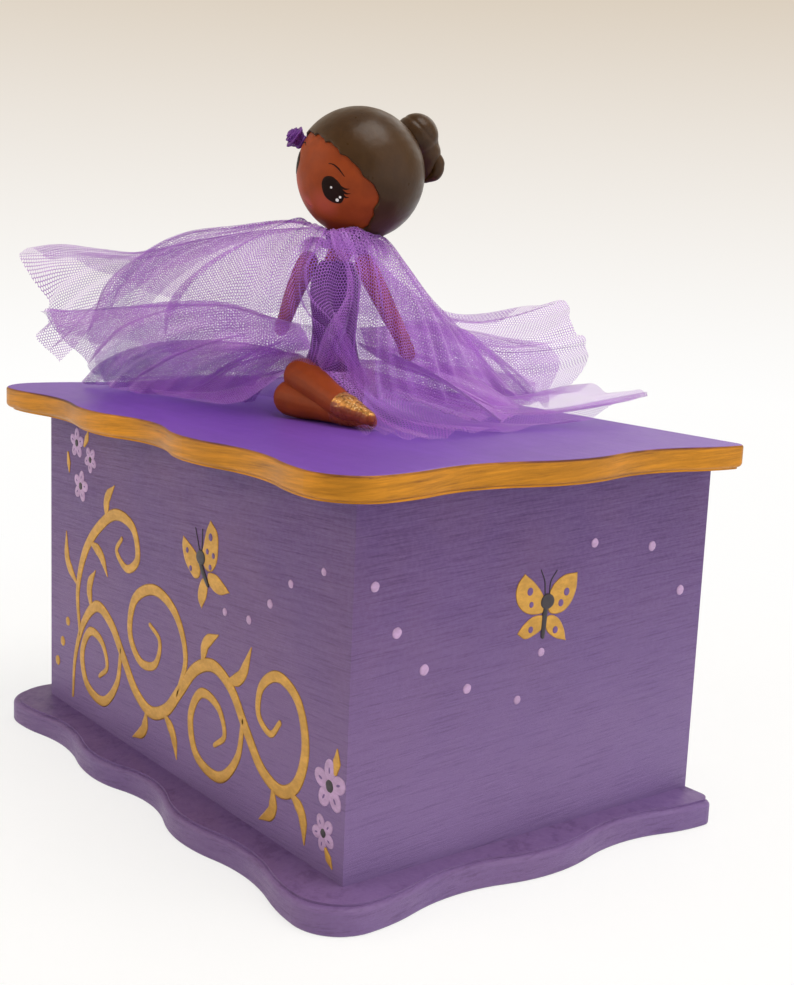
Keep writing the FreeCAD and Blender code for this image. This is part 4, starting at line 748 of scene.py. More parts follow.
class JEWEL_OT_doll_body(bpy.types.Operator):
    """Form the doll's limbs and slippers and finish her clay"""

    bl_idname = "jewel.doll_body"
    bl_label = "Doll's body"

    def execute(self, context):
        look = settings().doll
        skin = clay("skin_clay_finish", look.skin, 0.45, shine=0.12)
        finish_nodes(("doll_neck",), skin)
        finish_nodes(("doll_bodice",), clay("bodice_clay_finish", look.bodice, 0.5, 1.35))
        self.arms(skin)
        self.legs(skin, self.slipper_finish(look))
        self.choker(clay("choker_clay_finish", [c * 2.9 for c in look.bodice], 0.5, 1.3))
        return {"FINISHED"}

    def arms(self, skin):
        """Tapered arms with mitten hands and thumbs."""
        for name, keys in ARM_LINES.items():
            line = smooth_line([torso_point(*k) for k in keys], 26)
            way = unit(line[-1] - line[-4])
            side = unit(np.cross(way, (0, 0, 1.0)))
            inward = -1.0 if "left" in name else 1.0
            thumb = [line[-4] + side * inward * 2.0 * MM,
                     line[-2] + side * inward * 2.9 * MM + way * 0.6 * MM]
            shapes = [tube_points(line, taper(26, ARM_SHARES, ARM_RADII) * MM),
                      tube_points(thumb, (1.1 * MM, 0.9 * MM), 10)]
            mesh = clay_form(name + "_form", shapes, voxel=0.45 * MM, rounds=5)
            add_object(name + "_form", mesh, skin, "lid", name)

    def legs(self, skin, gold):
        """Folded legs with full knees, and slippers brushed with gold."""
        for leg, slipper, spots, radii in LEGS:
            hip, knee, ankle, toe = (SEAT + np.array(spot) * MM for spot in spots)
            thigh_radius, knee_radius, ankle_radius, toe_radius = mm(radii)
            calf = smooth_line([knee, knee * 0.6 + ankle * 0.4, knee * 0.15 + ankle * 0.85, ankle], 20)
            calf_radii = taper(20, (0, 0.25, 0.6, 1.0), (knee_radius, knee_radius * 0.97, ankle_radius * 1.12,
                                                         ankle_radius * 0.98))
            thigh = smooth_line([hip, (hip + knee) / 2, knee], 8)
            shapes = [tube_points(thigh, np.full(8, thigh_radius * 0.97)), tube_points(calf, calf_radii)]
            mesh = clay_form(leg + "_form", shapes, voxel=0.5 * MM, rounds=5)
            add_object(leg + "_form", mesh, skin, "lid", leg)
            foot = smooth_line([ankle, ankle * 0.55 + toe * 0.45, toe], 16)
            foot_radii = taper(16, (0, 0.3, 0.75, 1.0), (ankle_radius, ankle_radius * 0.98, toe_radius * 1.16,
                                                         toe_radius * 0.86))
            sole = smooth_line([ankle + (toe - ankle) * 0.12, (ankle + toe) / 2, toe], 10)
            sole_radii = np.linspace(ankle_radius * 0.86, toe_radius * 0.86, 10)
            shapes = [tube_points(foot, foot_radii), tube_points(sole - mm((0, 0, 0.5)), sole_radii)]
            mesh = clay_form(slipper + "_form", shapes, voxel=0.4 * MM, rounds=4)
            add_object(slipper + "_form", mesh, gold, "lid", slipper)

    def slipper_finish(self, look):
        """Clay whose upper side is brushed with speckled gold."""
        made, tree, shader = material("slipper_gold", Specular_IOR_Level=0.3)
        place = tree.place()
        grain = tree.effect("grain", place, 700.0)
        brush = tree.effect("brush", place, (150.0, 150.0, 420.0))
        up = tree.axis(tree.place("Normal"), 2)
        ragged = tree.times(tree.minus(brush["Height"], 0.5), 2.2)
        mask = tree.spread(tree.plus(up, ragged), 0.22, 0.5)
        bare = tree.mix(grain["Mask"], shade(look.skin, 0.8), rgb(look.skin))
        speck = tree.spread(tree.noise(place, 1500.0, 1.0), 0.58, 0.68)
        paint = tree.mix(grain["Mask"], shade(look.slipper, 0.7), shade(look.slipper, 1.2))
        paint = tree.mix(tree.times(speck, 0.8), paint, rgb(SLIPPER_GLITTER))
        coat(tree, shader, tree.plus(grain["Height"], brush["Height"]), 0.0002,
             Base_Color=tree.mix(mask, bare, paint), Metallic=tree.times(mask, 0.6),
             Roughness=tree.spread(grain["Height"], 0.3, 0.9, 0.22, 0.42))
        return made

    def choker(self, finish):
        """A small frill round the neck."""
        low, high = (np.array(c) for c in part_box("neck_choker"))
        centre = (low + high) / 2
        radius = (high[0] - low[0]) / 2 - 2.1 * MM
        axis = unit(NECK_AXIS)
        side = unit(np.cross(axis, (0, 1, 0)))
        over = np.cross(axis, side)
        points, around, ring = [], 144, 14
        for a in angles(around):
            out = side * math.cos(a) + over * math.sin(a)
            frill = 0.5 + 0.5 * math.sin(CHOKER_FRILLS * a + 0.7 * math.sin(5 * a))
            wide = (1.7 + 1.2 * frill) * MM
            tall = (1.5 + 0.4 * math.sin(CHOKER_FRILLS * a + 1.3)) * MM
            for b in angles(ring):
                points.append(centre + out * (radius + wide * math.cos(b)) + axis * (tall * math.sin(b)))
        points = clear_of(np.array(points), HEAD_CENTRE, HEAD_RADIUS + 0.1 * MM)
        last = (around - 1) * ring
        closing = [(last + k, last + (k + 1) % ring, (k + 1) % ring, k) for k in range(ring)]
        mesh = mesh_from("choker_frill", points, grid_faces(around, ring, wrap=True) + closing)
        add_object("choker_frill", mesh, finish, "lid", "neck_choker")


# Share of the outline and of the height of each ring of a dome of paint
PATCH_RINGS = ((1.0, 0.0), (0.94, 0.8), (0.75, 1.0), (0.45, 1.05), (0.18, 1.08))
# Across a brush stroke, as shares of its half width and of its height
STROKE_SECTION = ((-1.0, 0.0), (-0.78, 0.85), (-0.3, 1.0), (0.3, 1.0), (0.78, 0.85), (1.0, 0.0), (0.0, -0.5))
STROKE_BLUNT = 0.02


def patch_mesh(name, outline, place, height):
    """A low dome of paint inside a closed outline that is star-shaped from its middle."""
    outline = np.array(outline, float)
    middle = outline.mean(axis=0)
    count, points = len(outline), []
    for share, level in PATCH_RINGS:
        points += [place(*(middle + (p - middle) * share), height * level) for p in outline]
    points.append(place(*middle, height * PATCH_RINGS[-1][1]))
    faces = grid_faces(len(PATCH_RINGS), count, wrap=True)
    last = (len(PATCH_RINGS) - 1) * count
    top = len(points) - 1
    faces += [(last + j, last + (j + 1) % count, top) for j in range(count)]
    points.append(place(*middle, -0.5 * height))
    faces += [((j + 1) % count, j, top + 1) for j in range(count)]
    return mesh_from(name, points, faces)


def stroke_mesh(name, keys, widths, place, height, count=48):
    """A brush stroke through keys whose width changes along it."""
    line = smooth_line(keys, count)
    wide = taper(count, np.linspace(0, 1, len(widths)), widths) / 2
    way = np.gradient(line, axis=0)
    way /= np.maximum(np.linalg.norm(way, axis=1), 1e-9)[:, None]
    side = np.stack([-way[:, 1], way[:, 0]], axis=1)
    stations = round_ends(line, way, wide, 6)
    points = []
    for centre, share, i in stations:
        half = wide[i] * max(share, STROKE_BLUNT)
        points += [place(*(centre + side[i] * (half * u)), height * v) for u, v in STROKE_SECTION]
    n = len(STROKE_SECTION)
    faces = grid_faces(len(stations), n, wrap=True)
    faces.append(tuple(range(n)))
    faces.append(tuple(reversed(range(len(points) - n, len(points)))))
    return mesh_from(name, points, faces)


def disc(centre, radius_a, radius_b, count=28):
    """A closed oval outline."""
    return [(centre[0] + radius_a * math.cos(a), centre[1] + radius_b * math.sin(a)) for a in angles(count)]


# Face, on the head round each eye and round the mouth, in millimetres
EYE_OUTLINE = ((-4.0, 1.0), (-3.5, 3.3), (-1.2, 4.4), (1.6, 3.6), (3.8, 1.5), (4.7, -0.6), (4.0, -3.2),
               (1.5, -3.9), (-1.9, -2.8))
BROW = ((-3.6, 8.3), (-2.0, 8.5), (0.2, 7.9), (3.3, 5.9))
BROW_WIDTHS = (0.25, 0.5, 0.55, 0.25)
LASHES = (((3.0, 2.1), (5.9, 2.4)), ((3.9, 0.9), (6.6, 0.9)), ((4.2, -0.4), (6.3, -0.5)))
LASH_WIDTHS = (0.9, 0.6, 0.15)
EYE_LIGHTS = ((-0.2, 1.0, 0.4), (2.6, -2.5, 0.6), (3.4, -1.2, 0.45))
SMILE = ((-1.9, 0.45), (-0.8, -0.15), (0.0, -0.3), (0.8, -0.15), (1.9, 0.45))
SMILE_WIDTHS = (0.25, 0.7, 0.85, 0.7, 0.25)
# Directions on the head of each eye, with which way it is turned round, and of the cheeks and the mouth
EYE_WAYS = (((-0.6, -0.03, 0.88), -1), ((0.47, -0.03, 0.88), 1))
CHEEK_WAYS = ((-0.36, -0.30, 0.88), (0.36, -0.30, 0.88))
BLUSH_WAY, MOUTH_WAY = (0.0, -0.44, 0.90), (0.0, -0.47, 0.88)
INK_HEIGHT, EYE_HEIGHT, LIGHT_HEIGHT, LIP_HEIGHT = mm((0.08, 0.10, 0.2, 0.1))
CHEEK_ROSE = (0.46, 0.085, 0.055)
MOUTH_BLUSH = (0.50, 0.10, 0.085)
# Angle from the middle of the face at which the hair begins at the sides
HAIR_FRONT = math.acos(0.31)
# How much further forward than up the bare face lies, in head radii, and how softly the two limits meet
HAIR_SLOPE, HAIR_SOFTNESS = 0.20, 0.06
HAIR_THICK, HAIR_GAP = 0.85 * MM, 0.06 * MM
HAIR_RIM = 0.022
COMB_STROKES, COMB_DEPTH = 38, 0.0008
# Directions of the head and distances in head radii along the bun's tail and the loose end, and their radii
BUN_LINE = ((0.0, 0.51, -0.86, 1.17), (0.10, 0.25, -0.96, 1.22), (0.15, 0.07, -0.98, 1.19),
            (0.18, -0.07, -0.98, 1.13))
BUN_RADII = (6.6, 5.6, 3.8, 1.9)
CURL_LINE = ((0.13, 0.28, -0.95, 1.30), (0.22, 0.19, -0.95, 1.36), (0.26, 0.08, -0.95, 1.33),
             (0.23, -0.03, -0.96, 1.20))
CURL_RADII = (2.4, 2.7, 2.3, 1.3)
LOCK_SHARES = (0, 0.4, 0.75, 1)
BUN_TURNS, BUN_GROOVE_WIDTH, BUN_GROOVE_DEPTH = 2.2, 0.07, 0.028
PETAL_LIP, PETAL_CUP = 0.9 * MM, 0.108 / MM
# Petals in a ring, lean in degrees, reach, height, width and rise in millimetres, and turn in petals
ROSE_RINGS = ((5, 46, 2.0, 2.9, 3.3, 0.6, 0.0), (4, 26, 1.8, 2.6, 2.8, 1.3, 0.4),
              (3, 8, 1.7, 2.2, 2.0, 2.0, 0.1))
ROSE_HEARTS = ((3.4, (1.3, 1.3, 1.9)), (0.4, (2.6, 2.6, 1.4)))


class JEWEL_OT_doll_head(bpy.types.Operator):
    """Paint the face and form the hair, bun, curl and flower"""

    bl_idname = "jewel.doll_head"
    bl_label = "Doll's head"

    def execute(self, context):
        look = settings().doll
        self.face(look)
        hair = clay("hair_clay_finish", look.hair, 0.32, 1.4, 0.2)
        self.hair_cap(hair)
        self.bun(hair)
        self.curl(hair)
        self.flower(clay("flower_clay_finish", [c * 2.5 for c in look.bodice], 0.42, 1.3))
        finish_nodes(("neck_pin",), metal("neck_wire", (0.5, 0.5, 0.5), 0.35, 500.0))
        return {"FINISHED"}

    def face(self, look):
        """The head's clay with powdered cheeks, and the painted eyes, brows, lashes and mouth."""
        skin, tree, shader, tone, place = clay_parts("face_clay_finish", look.skin, 0.45, shine=0.12)
        for way in CHEEK_WAYS:
            tone = blush(tree, tone, place, on_head(*way), 7.0 * MM, CHEEK_ROSE, 0.55)
        tone = blush(tree, tone, place, on_head(*BLUSH_WAY), 3.6 * MM, MOUTH_BLUSH, 0.6)
        coat(tree, shader, Base_Color=tone)
        finish_nodes(("doll_head",), skin)
        ink = clay("eye_ink", (0.016, 0.007, 0.005), 0.5, 1.2, 0.06)
        white = clay("eye_light", (0.86, 0.84, 0.80), 0.4, 0.95)
        rose = clay("mouth_rose", (0.34, 0.052, 0.045), 0.45, 0.9)
        dark, lights = [], []
        for way, mirror in EYE_WAYS:
            place = self.face_place(head_way(*way), mirror)
            dark.append(patch_mesh("eye", smooth_line(mm(EYE_OUTLINE), 48, closed=True), place, EYE_HEIGHT))
            dark.append(stroke_mesh("brow", mm(BROW), mm(BROW_WIDTHS), place, INK_HEIGHT, 24))
            for root, tip in LASHES:
                middle = ((root[0] + tip[0]) / 2, (root[1] + tip[1]) / 2 - 0.35)
                keys = mm((root, middle, tip))
                dark.append(stroke_mesh("lash", keys, mm(LASH_WIDTHS), place, INK_HEIGHT, 14))
            for *spot, radius in EYE_LIGHTS:
                outline = disc(mm(spot), radius * MM, radius * MM, 16)
                lights.append(patch_mesh("light", outline, place, LIGHT_HEIGHT))
        add_object("face_ink", join_meshes("face_ink", dark), ink, "lid")
        add_object("eye_lights", join_meshes("eye_lights", lights), white, "lid")
        mouth = self.face_place(head_way(*MOUTH_WAY))
        lips = stroke_mesh("mouth_line", mm(SMILE), mm(SMILE_WIDTHS), mouth, LIP_HEIGHT, 24)
        add_object("mouth_line", lips, rose, "lid")

    def face_place(self, way, mirror=1):
        """A placing of flat coordinates on the head round a direction, mirrored for her right eye."""
        across = unit(np.cross(HEAD_UP, way))
        over = np.cross(way, across)

        def place(a, b, height):
            spot = way * HEAD_RADIUS + across * (a * mirror) + over * b
            return HEAD_CENTRE + spot / np.linalg.norm(spot) * (HEAD_RADIUS + height)
        return place

    def hairline(self, a):
        """How far from the middle of the face the hair begins, at an angle round it."""
        rise = math.sin(a)
        slope = math.acos(HAIR_SLOPE / math.sqrt(1 + rise * rise)) - math.atan(rise)
        both = math.exp(-HAIR_FRONT / HAIR_SOFTNESS) + math.exp(-slope / HAIR_SOFTNESS)
        limit = min(HAIR_FRONT, slope, -HAIR_SOFTNESS * math.log(both))
        wave = 0.016 * math.sin(11 * a + 0.5) + 0.012 * math.sin(23 * a + 2.0)
        return limit + (wave + 0.008 * abs(math.sin(17 * a)))

    def hair_cap(self, hair):
        """A smooth cap that ends in a hand-cut hairline."""
        around, along, rim = 192, 56, 7
        outer, inner = HEAD_RADIUS + HAIR_THICK, HEAD_RADIUS + HAIR_GAP
        turns = [(a, self.hairline(a)) for a in angles(around)]

        def way(a, angle):
            sideways = HEAD_LEFT * math.cos(a) + HEAD_UP * math.sin(a)
            return HEAD_FACE * math.cos(angle) + sideways * math.sin(angle)

        rows = [(i / along, outer, 0.0) for i in range(1, along + 1)]
        for k in range(1, rim + 1):
            b = math.pi / 2 * k / rim
            rows.append((1.0, inner + (outer - inner) * math.cos(b), HAIR_RIM * math.sin(b)))
        points = [HEAD_CENTRE - HEAD_FACE * outer]
        for share, radius, forward in rows:
            for a, limit in turns:
                angle = math.pi - (math.pi - limit) * share - forward
                groove = math.sin(COMB_STROKES * a + 3 * math.sin(2 * angle)) * math.sin(math.pi * share)
                combed = forward == 0.0 and share < 0.97
                reach = radius * (1.0 + COMB_DEPTH * groove) if combed else radius
                points.append(HEAD_CENTRE + way(a, angle) * reach)
        faces = [(0, 1 + (j + 1) % around, 1 + j) for j in range(around)]
        faces += [tuple(i + 1 for i in face) for face in grid_faces(len(rows), around, wrap=True)]
        inside = len(points)
        for share in (1.0, 0.5):
            for a, limit in turns:
                points.append(HEAD_CENTRE + way(a, math.pi - (math.pi - limit) * share) * inner)
        points.append(HEAD_CENTRE - HEAD_FACE * inner)
        last = 1 + (len(rows) - 1) * around
        for j in range(around):
            k = (j + 1) % around
            faces.append((last + j, last + k, inside + k, inside + j))
            faces.append((inside + j, inside + k, inside + around + k, inside + around + j))
            faces.append((inside + around + j, inside + around + k, len(points) - 1))
        add_object("hair_cap", mesh_from("hair_cap", points, faces), hair, "lid", "doll_hair")

    def lock(self, spots, radii, count, around):
        """A tapered lock of hair close to the head."""
        line = smooth_line([on_head(*spot) for spot in spots], count)
        return tube_points(line, taper(count, LOCK_SHARES, radii) * MM, around)

    def bun(self, hair):
        """A ball of hair wound round itself, with a tail that tapers down the back of the head."""
        centre = on_head(*BUN_LINE[0])
        ball = sphere_points(centre, np.full(3, 7.5 * MM), around=32, along=20)
        shapes = [ball, self.lock(BUN_LINE, BUN_RADII, 20, 24)]
        mesh = clay_form("hair_bun_wound", shapes, voxel=0.4 * MM, rounds=6)
        axis = head_way(0.25, 0.62, -0.75)
        side = unit(np.cross(axis, HEAD_LEFT))
        over = np.cross(axis, side)
        for vertex in mesh.vertices:
            away = np.array(vertex.co) - centre
            slope = math.acos(max(-1.0, min(1.0, away @ axis / np.linalg.norm(away))))
            around = math.atan2(away @ over, away @ side) / (2 * math.pi)
            turn = (around + slope / math.pi * BUN_TURNS) % 1.0
            groove = math.exp(-((turn - 0.5) / BUN_GROOVE_WIDTH) ** 2) * math.sin(slope) ** 0.5
            vertex.co = centre + away * (1.0 - BUN_GROOVE_DEPTH * groove)
        add_object("hair_bun_wound", mesh, hair, "lid", "hair_bun")

    def curl(self, hair):
        """A loose end that hooks out from under the bun."""
        shapes = [self.lock(CURL_LINE, CURL_RADII, 24, 18)]
        mesh = clay_form("hair_curl_hook", shapes, voxel=0.35 * MM, rounds=8)
        add_object("hair_curl_hook", mesh, hair, "lid", "hair_curl")

    def flower(self, finish):
        """A rose of thick overlapping petals round a bud."""
        way = head_way(-0.95, 0.20, 0.63)
        base = HEAD_CENTRE + way * (HEAD_RADIUS + 1.0 * MM)
        way = unit(way + np.array((0.35, -0.3, 0.25)))
        side = unit(np.cross(way, (0, 0, 1.0)))
        over = np.cross(side, way)
        meshes = []
        for count, lean, reach, tall, wide, rise, phase in ROSE_RINGS:
            for k in range(count):
                a = 2 * math.pi * (k + phase) / count
                out = side * math.cos(a) + over * math.sin(a)
                foot = base + way * rise * MM
                meshes.append(self.petal(foot, way, out, math.radians(lean), reach, tall, wide))
        for rise, radii in ROSE_HEARTS:
            heart = sphere_points(base + way * rise * MM, mm(radii), np.stack([side, over, way]), 16, 10)
            meshes.append(mesh_from("flower_heart", *heart))
        add_object("hair_rose", join_meshes("hair_rose", meshes), finish, "lid", "hair_flower")

    def petal(self, foot, way, out, lean, reach, tall, wide):
        """One thick petal that leans out and curls back at its lip."""
        up = way * math.cos(lean) + out * math.sin(lean)
        face = out * math.cos(lean) - way * math.sin(lean)
        along = np.cross(up, face)
        points, faces = sphere_points(np.zeros(3), mm((wide, 1.0, tall)), around=20, along=14)
        bent = []
        for x, y, z in points:
            lip = max(0.0, z / (tall * MM))
            y += PETAL_LIP * lip ** 2 - PETAL_CUP * x * x
            bent.append(foot + up * (reach * MM + z) + along * x + face * y)
        return mesh_from("petal", bent, faces)


# Net skirt

# Ribs of each sheet from its gather to its hem, in millimetres
NET_RIBS = {}
NET_RIBS["net_cape_left"] = (
    ((16.2, -20.1, 192), (21.7, -22.8, 192.4), (24.5, -22.5, 184.5), (25.2, -23.3, 174.1), (24.6, -24, 165),
     (24.8, -22.1, 154.5), (25.4, -16.4, 143.2)),
    ((15.6, -25.8, 191.7), (21.4, -31.4, 193), (23.7, -35, 188), (22.3, -38.5, 181.4), (23.2, -37.2, 172),
     (27.1, -30.5, 163.2), (27.9, -18.1, 142.8)),
    ((13.4, -27, 192.2), (18.4, -33.7, 194.2), (19, -41, 183.3), (20.3, -42.6, 171.4), (20.6, -39, 162.8),
     (20.2, -33, 156.2), (21.3, -26.7, 149)),
    ((9.5, -27.2, 192.8), (12.7, -34.6, 194.7), (11.5, -44.2, 184.5), (12.1, -48.4, 172.5),
     (10.1, -47.6, 161.7), (4.1, -42.4, 150.3), (-33.3, -15.9, 132.5)),
    ((6.4, -26.3, 193.6), (6.9, -33.9, 196.2), (-0.2, -46.3, 188.5), (-9.8, -57.1, 179.1),
     (-23.3, -61.5, 167.1), (-40.5, -54.3, 152.8), (-61.9, -34, 132.5)),
    ((4.3, -25.7, 193.9), (0.4, -32.4, 195.8), (-10.4, -44.8, 191.6), (-24.1, -56, 185.5),
     (-39.5, -62.9, 175.7), (-57.7, -63.5, 159.3), (-80.4, -56.9, 133.1)),
    ((2.6, -24.6, 193.9), (-3.6, -31, 195.5), (-17.5, -42.5, 192.8), (-31.4, -54, 190.1),
     (-43.7, -63.4, 182.7), (-55.2, -71.8, 171.3), (-63.7, -74.5, 152.9)),
    ((0.4, -22.7, 193.9), (-7.4, -27.8, 195.6), (-24.2, -36.5, 191.9), (-40.5, -46.1, 188.1),
     (-54.7, -53.1, 181.2), (-66, -59.5, 170.9), (-71.8, -62.1, 158.3)),
    ((-1.5, -20.2, 194), (-10.3, -23.4, 195.4), (-28.7, -27.6, 190.4), (-46, -33.6, 184.1),
     (-60.7, -39.6, 175.1), (-72.3, -44.8, 164.9), (-77.7, -46.9, 153.4)),
)
NET_RIBS["net_cape_right"] = (
    ((16, -25.3, 191.7), (22.6, -31.5, 193.1), (26.6, -32.8, 188.5), (30.5, -29.4, 182),
     (31.1, -30.2, 173.1), (26.8, -34.3, 163.9), (16.5, -32.8, 153)),
    ((17.5, -23.4, 191.5), (25.2, -28.2, 193.2), (30.9, -25.7, 181.6), (31.7, -26.2, 169.7),
     (30.4, -26.3, 159.9), (27.7, -24.9, 150.9), (26.6, -23, 143.5)),
    ((17, -20.7, 192.4), (25.1, -21.7, 194.1), (31.2, -20.4, 182.2), (33.3, -19.3, 169.8),
     (32.7, -18.3, 158.4), (31.2, -17.1, 147.8), (30.4, -14.8, 139)),
    ((15.6, -17.7, 192.4), (24.5, -16, 193), (30.3, -13.3, 183.3), (34, -10.2, 171.8), (35.7, -8, 160.2),
     (35.4, -5, 149.2), (34.2, -0.1, 137.6)),
    ((13.7, -15.1, 192.8), (21.9, -9.5, 191.9), (27.7, -5.2, 184.3), (31.6, -0.2, 175.4), (34.4, 5, 165.7),
     (35.6, 9.9, 154.3), (33.6, 18.8, 136.8)),
    ((11.3, -13.4, 193.2), (17.5, -5.4, 191.3), (21.1, 2.6, 181.3), (23.9, 9.5, 172.1), (25.6, 16.6, 165.1),
     (27.5, 27.3, 154.8), (27.7, 43.9, 135.2)),
    ((8.6, -11.9, 193.5), (11.9, -2.9, 191.2), (11.9, 7.1, 181), (12.2, 17.2, 170.8), (12, 26.8, 162.7),
     (13.4, 38.4, 153.8), (17.1, 53.1, 139.2)),
    ((5.1, -11.6, 193.8), (2.5, -1.9, 191.7), (-2.9, 10.8, 179.7), (-7.3, 21.5, 169.3), (-11.6, 32.3, 159.9),
     (-14.2, 42, 152.1), (-15.2, 50.5, 144.3)),
    ((2.6, -13.1, 194), (-3.6, -6.6, 192.7), (-15.4, 4.4, 179.4), (-24.4, 12.3, 168.2), (-33.3, 20.4, 158.3),
     (-40.6, 27.4, 150.1), (-46.4, 33, 141.6)),
)
NET_RIBS["net_far_wing"] = (
    ((0.4, -22.7, 193.6), (-16.1, -29.3, 190.3), (-36.4, -39.2, 183.9), (-55.3, -50.6, 174.8),
     (-70.8, -62.6, 161.3), (-80.3, -69.9, 147.8), (-86.2, -74.3, 141.1)),
    ((-0.7, -22.4, 193.6), (-18.9, -29.6, 190.9), (-40.3, -41, 185.8), (-61.4, -53.5, 178.4),
     (-77.9, -65.1, 168.1), (-89.5, -73.6, 156.3), (-96.4, -79.3, 149.2)),
    ((-1.5, -21.8, 193.9), (-21.2, -29.4, 191.5), (-43.2, -41.4, 187.1), (-65.2, -53.6, 181.1),
     (-81.6, -63.4, 175.9), (-91.9, -70.2, 169.5), (-97, -73.5, 161.8)),
    ((-2.4, -21.3, 193.9), (-22.1, -28.9, 191.9), (-44.9, -40.4, 187.8), (-67.9, -52.2, 182.5),
     (-85.3, -61.7, 182.4), (-99.3, -71.6, 181.7), (-110.2, -80.8, 179.2)),
    ((-3, -20.4, 193.9), (-24, -26.4, 191.9), (-47.6, -35.7, 187.5), (-70, -45, 181.5), (-88.1, -52.2, 180),
     (-103.6, -59.2, 180.4), (-114.1, -64.6, 178.3)),
    ((-3.2, -19.1, 194), (-25.3, -21.5, 191), (-48.8, -25.8, 185.7), (-70.9, -29.9, 180),
     (-89.4, -32.6, 176.2), (-103.6, -34.7, 173.3), (-114, -35, 168.8)),
    ((-2.8, -16.9, 194.1), (-24.3, -13.7, 189.9), (-44.9, -11, 183.7), (-64.8, -7.3, 177.4),
     (-79.6, -3.5, 171.8), (-91.9, 0.2, 167.3), (-101.5, 4.1, 161.9)),
    ((-1.1, -14.7, 193.8), (-19.2, -5.5, 188.9), (-36.4, 3.4, 182.1), (-51.9, 12.7, 175.3),
     (-65.1, 21.8, 169.4), (-74.8, 28.9, 164.5), (-82.2, 35.6, 159.2)),
    ((0.6, -12.5, 193.6), (-12.3, 1.9, 187.6), (-24.1, 16.1, 180), (-33.6, 29.9, 172.7),
     (-40.9, 43.3, 166.7), (-45.7, 55.2, 162.1), (-47.7, 65.7, 158.3)),
    ((2.7, -11.5, 193.4), (-5.9, 5.3, 185.8), (-12.4, 21.3, 177), (-17.9, 37.2, 169.1), (-21.1, 52.7, 163.3),
     (-22.1, 67.8, 161.3), (-20.1, 81.7, 161.5)),
    ((4.3, -11, 193.1), (-1.7, 5.8, 184.5), (-5.7, 21.8, 174.4), (-8.2, 38.3, 166), (-7.5, 55.5, 161.6),
     (-3.9, 75, 163.8), (1.6, 95.2, 170)),
    ((5.6, -11, 192.8), (0.4, 5.2, 182.9), (-1.6, 20.6, 171.4), (-1.1, 37.6, 161.4), (2.1, 56.6, 156),
     (7, 75.9, 156.9), (10.6, 90.4, 162.5)),
    ((6.8, -11, 192.5), (2, 4.1, 180.8), (1.7, 18.3, 168.4), (4.5, 35.1, 157.1), (9.2, 54.2, 151.4),
     (15.4, 73.7, 151.6), (20.9, 89, 154.2)),
    ((7.6, -11.6, 192.1), (4.1, 1.8, 178.8), (4.5, 15.4, 165), (8.9, 30.9, 152.4), (14, 49, 144.5),
     (20.4, 67.2, 142.5), (25.5, 85.2, 147.1)),
    ((8.5, -12.2, 191.8), (6.1, -0.5, 176.8), (7.7, 11.4, 161.7), (12.3, 25.6, 148.5), (18, 41.1, 139.3),
     (22.8, 55.6, 135.7), (22.9, 69.8, 133)),
)
